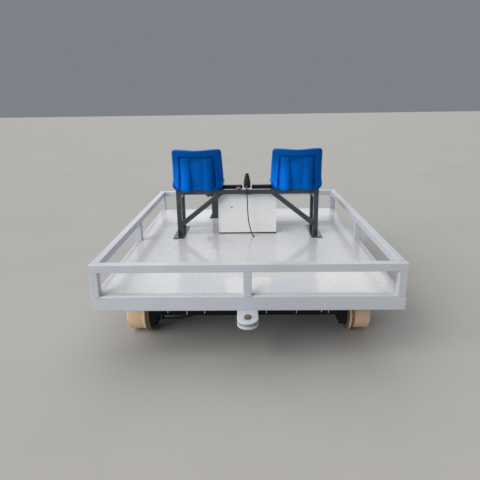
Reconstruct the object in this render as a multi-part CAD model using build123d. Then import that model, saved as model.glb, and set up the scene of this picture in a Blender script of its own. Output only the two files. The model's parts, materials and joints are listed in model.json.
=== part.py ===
from build123d import *
import math
import os

# A two-seat rail inspection trolley. Millimetres, +Z up, the rear towards -Y, the right side
# towards +X. The origin lies on the floor, under the middle of the platform.

# Platform: a flat deck sheet on a frame of edge beams and joists
platform_width = 1890.0
platform_length = 2180.0
beam_width = 50.0
beam_depth = 96.0
beam_corner = 8.0
deck_thickness = 4.0
deck_setback = 25.0
deck_notch_gap = 0.5
joist_width = 50.0

# Sub-frame under the platform
sill_width = 50.0
sill_depth = 100.0
sill_setback = 100.0
cross_width = 50.0
cross_depth = 80.0
drive_cross_back = 204.0

# Guard rail
rail_height = 200.0
rail_width = 50.0
post_width = 50.0
tube_corner = 4.0

# Running gear
axle_setback = 426.0
tread_radius = 134.0
flange_height = 14.0
wheel_back_x = 680.0
flange_thickness = 26.0
flange_bevel = 12.0
flange_bevel_height = 16.0
flange_edge = 3.0
flank_width = 22.0
flank_root = 12.0
tyre_width = 154.0
tyre_edge = 8.0
tyre_depth = 16.0
wheel_headroom = 54.0
hub_recess = 10.0
hub_edge = 4.0
hub_dome_depth = 49.0
hub_dome_edge = 16.0
hub_dome_radius = 84.0
cap_radius = 38.0
cap_length = 12.0
cap_edge = 3.0
axle_radius = 20.0

# Bearings that hang from the sills
bearing_width = 38.0
bearing_radius = 42.0
bearing_height = 50.0
bearing_foot_length = 150.0
bearing_foot_thickness = 14.0
bearing_clearance = 0.3
hanger_width = 50.0
hanger_hub_gap = 6.0

# Tow clevises under the end beams
clevis_width = 126.0
clevis_reach = 150.0
clevis_plate = 12.0
clevis_slot = 18.0
clevis_root = 45.0
clevis_bore_radius = 13.0
bolt_clearance = 1.0
bolt_head_radius = 20.8
bolt_head_height = 15.0
bolt_nut_height = 19.0
bolt_tail = 10.0
bolt_seat_gap = 0.3

# Seat stand
stand_tube = 40.0
stand_width = 1222.0
stand_height = 404.0
stand_rear_y = 116.0
stand_bar_pitch = 202.0
foot_width = 92.0
foot_thickness = 8.0
foot_overhang_rear = 95.0
foot_overhang_front = 33.0
brace_tube = 38.0
brace_low_height = 97.0
brace_top_x = 236.0

# Controls on the stand
plate_width = 82.0
plate_inset = 6.0
plate_thickness = 4.0
plate_corner = 6.0
lever_setback = 87.0
boot_radius = 29.5
boot_skirt = 6.0
boot_height = 124.0
boot_waist_radius = 25.0
boot_waist_height = 58.0
boot_waist_bend = 60.0
boot_tip_radius = 14.0
boot_tip_edge = 11.0
gland_x = -4.0
gland_radius = 7.0
gland_height = 12.0
gland_length = 14.0
gland_gap_to_boot = 2.0
button_x = -71.0
button_collar_radius = 15.0
button_collar_height = 6.0
button_stem_radius = 10.0
button_stem_height = 6.0
button_head_radius = 20.0
button_head_height = 14.0
button_head_edge = 5.0
button_collar_edge = 1.5

# Seats
seat_centre_x = 420.0
seat_bar_gap = 1.0
seat_width = 436.0
seat_top_width = 405.0
seat_base_width = 408.0
seat_base_rise = 4.0
seat_flare_height = 44.0
seat_shoulder_height = 90.0
seat_lip_width = 300.0
seat_lip_drop = 7.0
seat_corner = 24.0
seat_outline_margin = 2.0
seat_edge = 3.0
seat_heel_depth = 25.0
seat_back_height = 352.0
seat_back_lean = 45.0
seat_back_thickness = 38.0
seat_rim_radius = 10.0
seat_pan_length = 378.0
seat_pan_thickness = 23.0
seat_nose_height = 30.0
seat_nose_radius = 12.0
seat_bight_y = 32.0
seat_bight_radius = 60.0
seat_wing_width = 46.0
seat_wing_front_setback = 48.0
seat_wing_front_height = 52.0
seat_wing_bend_y = 95.0
seat_wing_bend_height = 90.0
seat_wing_bend_radius = 50.0
seat_wing_end_y = 0.0
seat_wing_end_height = 270.0

# Cabinet between the legs of the stand
cabinet_width = 508.0
cabinet_rear_gap = 9.0
cabinet_depth = 335.0
cabinet_headroom = 14.0
cabinet_wall = 3.0
cabinet_foot_height = 10.0
cabinet_foot_width = 24.0
cabinet_foot_inset = 10.0
door_gap = 5.0
door_thickness = 18.0
door_margin = 3.0
hinge_offset = 8.0
hinge_set_in = 1.0
hinge_radius = 6.0
hinge_pin_radius = 3.0
hinge_bore_clearance = 0.3
hinge_knuckle = 25.0
hinge_knuckle_gap = 0.5
hinge_inset = 60.0
hinge_leaf = 4.0
hinge_leaf_length = 26.0
battery_side_gap = 51.0
battery_rear_gap = 20.0
battery_front_gap = 42.0
battery_headroom = 114.0
latch_inset = 36.0
latch_width = 34.0
latch_height = 80.0
latch_plate = 4.0
latch_grip_width = 16.0
latch_grip_height = 56.0
latch_grip_depth = 18.0

# Brake column in front of the cabinet
column_centre_x = -313.0
column_centre_y = 740.0
column_width = 90.0
column_height = 330.0
column_corner = 5.0
column_flange = 130.0
column_flange_thickness = 8.0
column_lug_drop = 90.0
column_lug_reach = 54.0
column_lug_width = 50.0
column_lug_height = 30.0
brake_lever_radius = 9.0
brake_lever_length = 190.0
brake_lever_lean = 18.0
brake_grip_radius = 14.0
brake_grip_length = 105.0
brake_boss_radius = 22.0
brake_boss_height = 14.0

# Drive unit on the front axle
gear_case_x = 120.0
gear_case_width = 120.0
gear_case_rear = 110.0
gear_case_front = 95.0
gear_case_depth = 90.0
gear_case_headroom = 7.0
gear_case_corner = 14.0
gear_case_clearance = 5.0
motor_radius = 70.0
motor_length = 230.0
motor_saddle_width = 80.0
motor_saddle_length = 60.0

# Cables
cable_diameter = 8.0
plug_radius = 6.0
plug_length = 24.0
brake_cable_diameter = 10.0
brake_lug_width = 12.0
brake_lug_height = 16.0
brake_lug_reach = 44.0
brake_lug_drop = 34.0
brake_end_height = 12.0

# Places that follow from the sizes above
half_width = platform_width / 2
half_length = platform_length / 2
flange_radius = tread_radius + flange_height
hub_radius = tread_radius - tyre_depth
axle_height = flange_radius
axle_y = half_length - axle_setback
beam_underside = 2 * flange_radius + wheel_headroom
beam_top = beam_underside + beam_depth
deck_top = beam_top + deck_thickness
rail_top = deck_top + rail_height
rail_underside = rail_top - rail_width
joist_pitch = platform_length / 4
dome_x = wheel_back_x - hub_dome_depth
sill_centre_x = dome_x - hanger_hub_gap - hanger_width / 2
sill_length = platform_length - 2 * sill_setback
sill_underside = beam_underside - sill_depth
cross_underside = beam_underside - cross_depth
drive_cross_y = axle_y - drive_cross_back
tyre_outer_x = wheel_back_x + tyre_width
stand_top = deck_top + stand_height
bar_underside = stand_top - stand_tube
stand_front_y = stand_rear_y + stand_bar_pitch
leg_outer_x = stand_width / 2
leg_inner_x = leg_outer_x - stand_tube
lever_plate_top = stand_top + plate_thickness
bar_gap_middle = (stand_rear_y + stand_front_y + stand_tube) / 2
plate_length = stand_bar_pitch + stand_tube - 2 * plate_inset
lever_y = stand_rear_y + lever_setback
cabinet_rear_y = stand_rear_y + stand_tube + cabinet_rear_gap
cabinet_front_y = cabinet_rear_y + cabinet_depth
cabinet_floor = deck_top + cabinet_foot_height
cabinet_top = bar_underside - cabinet_headroom
door_rear_y = cabinet_front_y + door_gap
hinge_x = cabinet_width / 2 + hinge_offset
hinge_y = door_rear_y + hinge_set_in
bolt_radius = clevis_bore_radius - bolt_clearance
clevis_bolt_y = half_length + clevis_reach - clevis_width / 2


def block(x, y, z):
    """A box between the low and high value of each axis."""
    size = [high - low for low, high in (x, y, z)]
    middle = [(high + low) / 2 for low, high in (x, y, z)]
    return Pos(*middle) * Box(*size)


def tube(x, y, z, axis, corner):
    """A box whose long edges, those along axis, are rounded."""
    solid = block(x, y, z)
    return fillet(solid.edges().filter_by(axis), corner)


def around(value, width):
    """The low and high value of a width about its middle."""
    return (value - width / 2, value + width / 2)


def round_bar(start, end, radius):
    """A cylinder from one point to another."""
    line = Line(start, end)
    section = Plane(origin=start, z_dir=line % 0) * Circle(radius)
    return sweep(section, path=line)


def outline(rows, plane):
    """A flat face from rows of two distances and a corner radius."""
    spots = [plane.from_local_coords((a, b, 0)) for a, b, corner in rows]
    radii = [corner for a, b, corner in rows]
    return make_face(FilletPolyline(*spots, radius=radii, close=True))


def turned(rows, axis):
    """An outline in the plane of X and Z, turned about the X or the Z axis."""
    return revolve(outline(rows, Plane.XZ), axis=axis)


def cord(points, diameter, name):
    """A tube along straight runs joined by arcs as large as their runs allow."""
    spots = [Vector(*point) for point in points]
    runs = [b - a for a, b in zip(spots, spots[1:])]
    radii = []
    for first, second in zip(runs, runs[1:]):
        half_turn = math.radians(first.get_angle(second)) / 2
        radii.append(0.45 * min(first.length, second.length) / math.tan(half_turn))
    path = FilletPolyline(*points, radius=radii)
    section = Plane(origin=points[0], z_dir=runs[0]) * Circle(diameter / 2)
    solid = sweep(section, path=path)
    ideal = math.pi * diameter ** 2 / 4 * path.length
    print(name, "length", round(path.length, 1), "radii", [round(r) for r in radii])
    print(name, "volume over section times length", round(solid.volume / ideal, 4))
    return solid


os.makedirs("parts", exist_ok=True)


def write(name, solid):
    export_step(solid, f"parts/{name}.step")


# Edge beams
beam_z = (beam_underside, beam_top)
for name, side in (("rear", -1), ("front", 1)):
    y = sorted((side * half_length, side * (half_length - beam_width)))
    write(f"beam_{name}", tube((-half_width, half_width), y, beam_z, Axis.X, beam_corner))
for name, side in (("left", -1), ("right", 1)):
    x = sorted((side * half_width, side * (half_width - beam_width)))
    y = (-half_length + beam_width, half_length - beam_width)
    write(f"beam_{name}", tube(x, y, beam_z, Axis.Y, beam_corner))

# Joists under the deck sheet
joist_x = (-half_width + beam_width, half_width - beam_width)
for name, place in (("rear", -1), ("middle", 0), ("front", 1)):
    write(f"joist_{name}", block(joist_x, around(place * joist_pitch, joist_width), beam_z))

# Sub-frame
sill_z = (sill_underside, beam_underside)
for name, side in (("left", -1), ("right", 1)):
    x = around(side * sill_centre_x, sill_width)
    write(f"sill_{name}", tube(x, around(0, sill_length), sill_z, Axis.Y, tube_corner))
cross_x = (-sill_centre_x + sill_width / 2, sill_centre_x - sill_width / 2)
cross_z = (cross_underside, beam_underside)
end_cross_y = (sill_length - cross_width) / 2
for name, y in (("rear", -end_cross_y), ("drive", drive_cross_y), ("front", end_cross_y)):
    write(f"cross_{name}", block(cross_x, around(y, cross_width), cross_z))

# Guard rail: posts on the beams, then the top rails
post_x = half_width - post_width / 2
post_y = half_length - post_width / 2
posts = (
    # name, x, y
    ("rear_left", -post_x, -post_y),
    ("rear_middle", 0, -post_y),
    ("rear_right", post_x, -post_y),
    ("middle_left", -post_x, 0),
    ("middle_right", post_x, 0),
    ("front_left", -post_x, post_y),
    ("front_middle", 0, post_y),
    ("front_right", post_x, post_y),
)
for name, x, y in posts:
    solid = tube(around(x, post_width), around(y, post_width), (beam_top, rail_underside),
                 Axis.Z, tube_corner)
    write(f"post_{name}", solid)
rail_z = (rail_underside, rail_top)
for name, side in (("rear", -1), ("front", 1)):
    y = sorted((side * half_length, side * (half_length - rail_width)))
    write(f"rail_{name}", tube((-half_width, half_width), y, rail_z, Axis.X, tube_corner))
for name, side in (("left", -1), ("right", 1)):
    x = sorted((side * half_width, side * (half_width - rail_width)))
    y = (-half_length + rail_width, half_length - rail_width)
    write(f"rail_{name}", tube(x, y, rail_z, Axis.Y, tube_corner))

# Deck sheet, set back from the beams' outer faces and notched round the posts
deck = block((-half_width + deck_setback, half_width - deck_setback),
             (-half_length + deck_setback, half_length - deck_setback),
             (beam_top, deck_top))
notch = post_width + 2 * deck_notch_gap
notch_z = (beam_top - deck_thickness, deck_top + deck_thickness)
for name, x, y in posts:
    deck -= block(around(x, notch), around(y, notch), notch_z)
write("deck_plate", deck)

# Wheelsets: an axle with its two hubs is one turned piece, and each tyre is another
tread_x = wheel_back_x + flange_thickness + flank_width
hub_face_x = tyre_outer_x - hub_recess
tip_x = hub_face_x + cap_length
half_axle = (
    # distance from the middle, radius, corner
    (dome_x, axle_radius, 0),
    (dome_x, hub_dome_radius, hub_dome_edge),
    (wheel_back_x, hub_radius, 0),
    (hub_face_x, hub_radius, hub_edge),
    (hub_face_x, cap_radius, 0),
    (tip_x, cap_radius, cap_edge),
)
left_half = [(-x, radius, corner) for x, radius, corner in reversed(half_axle)]
axle_outline = [(-tip_x, 0, 0)] + left_half + list(half_axle) + [(tip_x, 0, 0)]
tyre_outline = (
    # distance from the middle, radius, corner
    (wheel_back_x, hub_radius, 0),
    (wheel_back_x, flange_radius - flange_bevel_height, flange_edge),
    (wheel_back_x + flange_bevel, flange_radius, flange_edge),
    (wheel_back_x + flange_thickness, flange_radius, flange_edge),
    (tread_x, tread_radius, flank_root),
    (tyre_outer_x, tread_radius, tyre_edge),
    (tyre_outer_x, hub_radius, 0),
)
axle_set = turned(axle_outline, Axis.X)
for name, end in (("rear", -1), ("front", 1)):
    place = Pos(0, end * axle_y, axle_height)
    write(f"axle_{name}", place * axle_set)
    for side_name, side in (("left", -1), ("right", 1)):
        rows = [(side * x, radius, corner) for x, radius, corner in tyre_outline]
        tyre = turned(rows, Axis.X)
        write(f"tyre_{name}_{side_name}", place * tyre)

# Bearings on hangers under the sills
foot_top = axle_height + bearing_height
foot_underside = foot_top - bearing_foot_thickness
brake_lug_end_y = -axle_y - bearing_radius - brake_lug_reach
brake_lug_z = axle_height - brake_lug_drop
for name, end in (("rear", -1), ("front", 1)):
    for side_name, side in (("left", -1), ("right", 1)):
        x, y = side * sill_centre_x, end * axle_y
        bearing = Pos(x, y, axle_height) * Rot(0, 90, 0) * Cylinder(bearing_radius, bearing_width)
        bearing += block(around(x, bearing_width), around(y, 2 * bearing_radius),
                         (axle_height, foot_top))
        bearing += block(around(x, hanger_width), around(y, bearing_foot_length),
                         (foot_underside, foot_top))
        bearing += block(around(x, hanger_width), around(y, hanger_width),
                         (foot_top, sill_underside))
        if (name, side_name) == ("rear", "left"):
            bearing += block(around(x, brake_lug_width),
                             (brake_lug_end_y, y - bearing_radius / 2),
                             around(brake_lug_z, brake_lug_height))
        bore = Cylinder(axle_radius + bearing_clearance, 2 * hanger_width)
        bearing -= Pos(x, y, axle_height) * Rot(0, 90, 0) * bore
        write(f"bearing_{name}_{side_name}", bearing)

# Tow clevises, welded under the end beams; only the rear one holds a bolt
tip_height = 2 * clevis_plate + clevis_slot
clevis_low = beam_underside - tip_height
clevis_z = (clevis_low, beam_underside)
slot_z = (clevis_low + clevis_plate, beam_underside - clevis_plate)
clevis_back = half_length - beam_width
for name, end in (("rear", -1), ("front", 1)):
    straight_y = sorted((end * clevis_back, end * clevis_bolt_y))
    slot_y = sorted((end * (clevis_back + clevis_root), end * (half_length + 2 * clevis_reach)))
    bolt_line = Pos(0, end * clevis_bolt_y, sum(clevis_z) / 2)
    clevis = block(around(0, clevis_width), straight_y, clevis_z)
    clevis += bolt_line * Cylinder(clevis_width / 2, tip_height)
    clevis -= block(around(0, 2 * clevis_width), slot_y, slot_z)
    clevis -= bolt_line * Cylinder(clevis_bore_radius, 2 * tip_height)
    write(f"clevis_{name}", clevis)
head_z = beam_underside + bolt_seat_gap
nut_top = clevis_low - bolt_seat_gap
bolt_top = head_z + bolt_head_height
bolt_tip = nut_top - bolt_nut_height - bolt_tail
bolt = Pos(0, 0, (bolt_top + bolt_tip) / 2) * Cylinder(bolt_radius, bolt_top - bolt_tip)
bolt += Pos(0, 0, head_z) * extrude(RegularPolygon(bolt_head_radius, 6), bolt_head_height)
bolt += Pos(0, 0, nut_top) * extrude(RegularPolygon(bolt_head_radius, 6), -bolt_nut_height)
write("tow_bolt", Pos(0, -clevis_bolt_y, 0) * bolt)

# Seat stand: welded side frames, two bars and two braces
rear_bar_y = (stand_rear_y, stand_rear_y + stand_tube)
front_bar_y = (stand_front_y, stand_front_y + stand_tube)
foot_y = (rear_bar_y[0] - foot_overhang_rear, front_bar_y[1] + foot_overhang_front)
foot_z = (deck_top, deck_top + foot_thickness)
leg_z = (foot_z[1], bar_underside)
for name, side in (("left", -1), ("right", 1)):
    leg_x = sorted((side * leg_inner_x, side * leg_outer_x))
    leg_middle = (leg_x[0] + leg_x[1]) / 2
    tie_y = (rear_bar_y[1] - tube_corner, front_bar_y[0] + tube_corner)
    frame = block(around(leg_middle, foot_width), foot_y, foot_z)
    for y in (rear_bar_y, front_bar_y):
        frame += tube(leg_x, y, leg_z, Axis.Z, tube_corner)
    frame += block(leg_x, tie_y, (bar_underside - stand_tube, bar_underside))
    write(f"stand_side_{name}", frame)
bar_x = (-leg_outer_x, leg_outer_x)
for name, y in (("rear", rear_bar_y), ("front", front_bar_y)):
    write(f"stand_bar_{name}", tube(bar_x, y, (bar_underside, stand_top), Axis.X, tube_corner))
rear_bar_middle = sum(rear_bar_y) / 2
brace_y = around(rear_bar_middle, brace_tube)
for name, side in (("left", -1), ("right", 1)):
    low_x, high_x = side * leg_inner_x, side * brace_top_x
    low_z, high_z = deck_top + brace_low_height, bar_underside
    rise = math.degrees(math.atan2(high_z - low_z, abs(high_x - low_x)))
    reach = math.hypot(high_x - low_x, high_z - low_z) + 2 * stand_tube
    middle = Pos((low_x + high_x) / 2, rear_bar_middle, (low_z + high_z) / 2)
    brace = middle * Rot(0, side * rise, 0) * Box(reach, brace_tube, brace_tube)
    brace &= block(sorted((low_x, 0)), brace_y, (deck_top, bar_underside))
    write(f"stand_brace_{name}", brace)

# Lever plate with the cable gland, joystick boot and stop button
plate_y = around(bar_gap_middle, plate_length)
plate = tube(around(0, plate_width), plate_y, (stand_top, lever_plate_top), Axis.Z, plate_corner)
gland_front_y = lever_y - boot_radius - gland_gap_to_boot
gland_y = (gland_front_y - gland_length, gland_front_y)
gland_z = lever_plate_top + gland_height
gland = Pos(gland_x, sum(gland_y) / 2, gland_z) * Rot(90, 0, 0) * Cylinder(gland_radius, gland_length)
gland += block(around(gland_x, 2 * gland_radius), gland_y, (lever_plate_top, gland_z))
write("lever_plate", plate + gland)
boot_outline = (
    # radius, height above the plate, corner
    (0, 0, 0),
    (boot_radius, 0, 0),
    (boot_radius, boot_skirt, 0),
    (boot_waist_radius, boot_waist_height, boot_waist_bend),
    (boot_tip_radius, boot_height, boot_tip_edge),
    (0, boot_height, 0),
)
write("joystick", Pos(0, lever_y, lever_plate_top) * turned(boot_outline, Axis.Z))
head_low = button_collar_height + button_stem_height
button_outline = (
    # radius, height above the bar, corner
    (0, 0, 0),
    (button_collar_radius, 0, 0),
    (button_collar_radius, button_collar_height, button_collar_edge),
    (button_stem_radius, button_collar_height, 0),
    (button_stem_radius, head_low, 0),
    (button_head_radius, head_low, 0),
    (button_head_radius, head_low + button_head_height, button_head_edge),
    (0, head_low + button_head_height, 0),
)
write("stop_button", Pos(button_x, rear_bar_middle, stand_top) * turned(button_outline, Axis.Z))

# Seats: a slab with the wings' profile, hollowed between them, then cut to its outline from behind
heel_y = -seat_bar_gap - seat_heel_depth
back_top_y = heel_y - seat_back_lean
side_rows = (
    # y from the rear bar's near face, height above the bars, corner
    (heel_y, -seat_lip_drop, seat_edge),
    (-seat_bar_gap, -seat_lip_drop, seat_edge),
    (-seat_bar_gap, 0, 0),
    (seat_pan_length, 0, seat_nose_radius),
    (seat_pan_length, seat_nose_height, seat_nose_radius),
    (seat_pan_length - seat_wing_front_setback, seat_wing_front_height, seat_wing_bend_radius),
    (seat_wing_bend_y, seat_wing_bend_height, seat_wing_bend_radius),
    (seat_wing_end_y, seat_wing_end_height, seat_wing_bend_radius),
    (back_top_y + seat_back_thickness, seat_back_height, seat_rim_radius),
    (back_top_y, seat_back_height, seat_rim_radius),
)
well_rows = (
    # y from the rear bar's near face, height above the bars, corner
    (back_top_y + seat_back_thickness, seat_back_height, 0),
    (seat_bight_y, seat_pan_thickness, seat_bight_radius),
    (2 * seat_pan_length, seat_nose_height, 0),
    (2 * seat_pan_length, seat_back_height, 0),
)
half_outline = (
    # distance from the seat's middle, height above the bars, corner
    (seat_lip_width / 2, -seat_lip_drop - seat_outline_margin, seat_corner),
    (seat_base_width / 2, seat_base_rise, seat_corner),
    (seat_width / 2, seat_flare_height, seat_corner),
    (seat_width / 2, seat_shoulder_height, seat_corner),
    (seat_top_width / 2, seat_back_height + seat_outline_margin, seat_corner),
)


def seat():
    mirrored = [(-x, z, corner) for x, z, corner in reversed(half_outline)]
    well_width = seat_width - 2 * seat_wing_width
    shell = extrude(outline(side_rows, Plane.YZ), seat_width / 2, both=True)
    shell -= extrude(outline(well_rows, Plane.YZ), well_width / 2, both=True)
    shell &= extrude(outline([*half_outline, *mirrored], Plane.XZ), 2 * seat_pan_length, both=True)
    return Pos(0, stand_rear_y, stand_top) * shell


seat_shell = seat()
for name, side in (("left", -1), ("right", 1)):
    write(f"seat_{name}", Pos(side * seat_centre_x, 0, 0) * seat_shell)

# Cabinet: a sheet box open at the front, its door on two hinges, a latch and the battery
half_cabinet = cabinet_width / 2
cabinet_x = (-half_cabinet, half_cabinet)
cabinet_y = (cabinet_rear_y, cabinet_front_y)
shell = block(cabinet_x, cabinet_y, (cabinet_floor, cabinet_top))
shell -= block((-half_cabinet + cabinet_wall, half_cabinet - cabinet_wall),
               (cabinet_rear_y + cabinet_wall, cabinet_front_y + cabinet_wall),
               (cabinet_floor + cabinet_wall, cabinet_top - cabinet_wall))
for side in (-1, 1):
    x = around(side * (half_cabinet - cabinet_foot_inset - cabinet_foot_width / 2), cabinet_foot_width)
    shell += block(x, cabinet_y, (deck_top, cabinet_floor))
door_z = (cabinet_floor + door_margin, cabinet_top - door_margin)
door_x = (-half_cabinet + door_margin, half_cabinet - door_margin)
door = block(door_x, (door_rear_y, door_rear_y + door_thickness), door_z)
hinge_lows = (cabinet_floor + hinge_inset, cabinet_top - hinge_inset - 2 * hinge_knuckle)
leaf_y = (hinge_y - hinge_leaf_length, hinge_y)
leaf_root_y = (leaf_y[0], leaf_y[0] + hinge_leaf)
strap_x = (door_x[1] - hinge_leaf_length / 2, hinge_x)
for low in hinge_lows:
    fixed_z = (low, low + hinge_knuckle)
    moving_z = (fixed_z[1] + hinge_knuckle_gap, fixed_z[1] + hinge_knuckle_gap + hinge_knuckle)
    pin_length = moving_z[1] - fixed_z[1]
    fixed_middle = Pos(hinge_x, hinge_y, sum(fixed_z) / 2)
    moving_middle = Pos(hinge_x, hinge_y, sum(moving_z) / 2)
    pin_middle = Pos(hinge_x, hinge_y, fixed_z[1] + pin_length / 2)
    shell += fixed_middle * Cylinder(hinge_radius, hinge_knuckle)
    shell += block((half_cabinet, hinge_x), leaf_root_y, fixed_z)
    shell += block((hinge_x - hinge_leaf, hinge_x), leaf_y, fixed_z)
    shell += pin_middle * Cylinder(hinge_pin_radius, pin_length)
    knuckle = moving_middle * Cylinder(hinge_radius, hinge_knuckle)
    knuckle += block(strap_x, (hinge_y, hinge_y + hinge_radius), moving_z)
    knuckle -= moving_middle * Cylinder(hinge_pin_radius + hinge_bore_clearance, 2 * hinge_knuckle)
    door += knuckle
write("cabinet", shell)
write("cabinet_door", door)
latch_x = -half_cabinet + latch_inset
latch_z = (cabinet_floor + cabinet_top) / 2
latch_y = door_rear_y + door_thickness
plate_y = (latch_y, latch_y + latch_plate)
grip_y = (plate_y[1], plate_y[1] + latch_grip_depth)
latch = block(around(latch_x, latch_width), plate_y, around(latch_z, latch_height))
latch += block(around(latch_x, latch_grip_width), grip_y, around(latch_z, latch_grip_height))
write("door_latch", latch)
battery_width = cabinet_width - 2 * (cabinet_wall + battery_side_gap)
battery_y = (cabinet_rear_y + cabinet_wall + battery_rear_gap, cabinet_front_y - battery_front_gap)
battery_z = (cabinet_floor + cabinet_wall, cabinet_top - cabinet_wall - battery_headroom)
write("battery", block(around(0, battery_width), battery_y, battery_z))

# Brake column with its lever
flange_z = (deck_top, deck_top + column_flange_thickness)
column_top = flange_z[1] + column_height
flange_x, flange_y = around(column_centre_x, column_flange), around(column_centre_y, column_flange)
column_x, column_y = around(column_centre_x, column_width), around(column_centre_y, column_width)
column = block(flange_x, flange_y, flange_z)
column += tube(column_x, column_y, (flange_z[1], column_top), Axis.Z, column_corner)
lug_top = column_top - column_lug_drop
column += block((column_x[0] - column_lug_reach, column_x[0]), around(column_centre_y, column_lug_width),
                (lug_top - column_lug_height, lug_top))
write("brake_column", column)
lean = math.radians(brake_lever_lean)
lever_start = (column_centre_x, column_centre_y, column_top)
lever_end = (column_centre_x,
             column_centre_y + brake_lever_length * math.sin(lean),
             column_top + brake_lever_length * math.cos(lean))
grip_share = 1 - brake_grip_length / brake_lever_length
grip_start = tuple(a + (b - a) * grip_share for a, b in zip(lever_start, lever_end))
lever = round_bar(lever_start, lever_end, brake_lever_radius)
lever += round_bar(grip_start, lever_end, brake_grip_radius)
boss_middle = Pos(column_centre_x, column_centre_y, column_top + brake_boss_height / 2)
lever += boss_middle * Cylinder(brake_boss_radius, brake_boss_height)
# The bar's lower end is cut level with the column's top
reach = 2 * brake_lever_length
above_column = (column_top, column_top + reach)
lever &= block(around(column_centre_x, reach), around(column_centre_y, reach), above_column)
write("brake_lever", lever)

# Drive unit round the front axle, its motor hung under the drive cross member
case_x = around(gear_case_x, gear_case_width)
case = block(case_x, (axle_y - gear_case_rear, axle_y + gear_case_front),
             (axle_height - gear_case_depth, sill_underside - gear_case_headroom))
case = fillet(case.edges().filter_by(Axis.X), gear_case_corner)
bore = Cylinder(axle_radius + gear_case_clearance, 2 * gear_case_width)
motor_z = sill_underside - motor_radius
motor_y = (axle_y - gear_case_rear - motor_length, axle_y - gear_case_rear)
motor = Pos(gear_case_x, sum(motor_y) / 2, motor_z) * Rot(90, 0, 0) * Cylinder(motor_radius, motor_length)
motor += block(around(gear_case_x, motor_saddle_width), around(drive_cross_y, motor_saddle_length),
               (motor_z, cross_underside))
drive = case + motor
drive -= Pos(gear_case_x, axle_y, axle_height) * Rot(0, 90, 0) * bore
write("drive_unit", drive)

# Control cable: out of the gland, over the rear bar and down to the deck
cable_route = (
    # x, y, z
    (gland_x, gland_y[0], gland_z),
    (gland_x, 122.0, gland_z),
    (-3.5, 93.0, 849.0),
    (-1.5, 84.0, 806.0),
    (2.0, 87.0, 752.0),
    (2.5, 92.0, 696.0),
    (5.0, 93.0, 640.0),
    (9.5, 92.0, 590.0),
    (17.5, 95.0, 546.0),
    (26.0, 92.0, 508.0),
    (34.2, 83.2, 478.0),
    (43.5, 64.0, 467.0),
)
write("control_cable", cord(cable_route, cable_diameter, "control_cable"))
plug_start = Vector(*cable_route[-1])
plug_way = (plug_start - Vector(*cable_route[-2])).normalized()
write("cable_plug", round_bar(plug_start, plug_start + plug_way * plug_length, plug_radius))

# Brake cable from the left rear bearing to the rear cross member
lug_face_x = -sill_centre_x + brake_lug_width / 2
lug_middle_y = brake_lug_end_y + brake_cable_diameter
brake_end_z = cross_underside + brake_end_height
brake_route = (
    # x, y, z
    (lug_face_x, lug_middle_y, brake_lug_z),
    (-540.0, lug_middle_y, brake_lug_z),
    (-480.0, -axle_y - 80.0, 118.0),
    (-410.0, -axle_y - 88.0, 134.0),
    (-350.0, -axle_y - 112.0, 166.0),
    (-300.0, -axle_y - 154.0, 206.0),
    (-262.0, -axle_y - 198.0, 243.0),
    (-246.0, -axle_y - 234.0, brake_end_z),
    (-246.0, -end_cross_y + cross_width / 2, brake_end_z),
)
write("brake_cable", cord(brake_route, brake_cable_diameter, "brake_cable"))
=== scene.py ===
import json
import math

import bmesh
import bpy
from mathutils import Matrix, Vector


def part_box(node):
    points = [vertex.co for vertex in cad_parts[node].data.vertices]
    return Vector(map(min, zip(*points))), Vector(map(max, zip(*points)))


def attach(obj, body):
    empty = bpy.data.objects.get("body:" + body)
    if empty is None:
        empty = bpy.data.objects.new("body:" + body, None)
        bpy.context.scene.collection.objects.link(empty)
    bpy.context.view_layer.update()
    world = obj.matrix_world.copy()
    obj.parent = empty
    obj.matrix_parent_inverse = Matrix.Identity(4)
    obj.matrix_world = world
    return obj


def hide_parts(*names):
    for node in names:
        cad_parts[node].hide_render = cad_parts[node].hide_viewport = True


# Looks for the two-seat rail inspection trolley. The scene is in metres, in the frame of the
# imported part. Pieces are modelled in millimetres, and settle() brings them to metres.
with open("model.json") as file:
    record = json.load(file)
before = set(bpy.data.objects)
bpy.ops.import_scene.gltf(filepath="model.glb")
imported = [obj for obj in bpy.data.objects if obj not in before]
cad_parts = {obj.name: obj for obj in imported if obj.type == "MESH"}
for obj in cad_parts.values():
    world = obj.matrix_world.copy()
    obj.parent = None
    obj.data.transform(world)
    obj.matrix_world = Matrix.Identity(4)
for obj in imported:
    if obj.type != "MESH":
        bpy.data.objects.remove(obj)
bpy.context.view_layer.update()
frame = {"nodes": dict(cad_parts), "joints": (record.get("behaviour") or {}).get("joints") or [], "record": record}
nodes = frame["nodes"]
mm = 0.001
print("frame loaded:", len(nodes), "nodes")


# Shader maths: a wrapped socket whose operators add Math nodes
class Value:
    def __init__(self, finish, socket):
        self.finish = finish
        self.socket = socket

    def __add__(self, other):
        return self.finish.maths("ADD", self, other)

    def __radd__(self, other):
        return self.finish.maths("ADD", other, self)

    def __sub__(self, other):
        return self.finish.maths("SUBTRACT", self, other)

    def __rsub__(self, other):
        return self.finish.maths("SUBTRACT", other, self)

    def __mul__(self, other):
        return self.finish.maths("MULTIPLY", self, other)

    def __rmul__(self, other):
        return self.finish.maths("MULTIPLY", other, self)


socketNames = {
    "colour": "Base Color", "rough": "Roughness", "metallic": "Metallic", "normal": "Normal",
    "coat": "Coat Weight", "coatRough": "Coat Roughness", "gloss": "Specular IOR Level",
}


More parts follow.
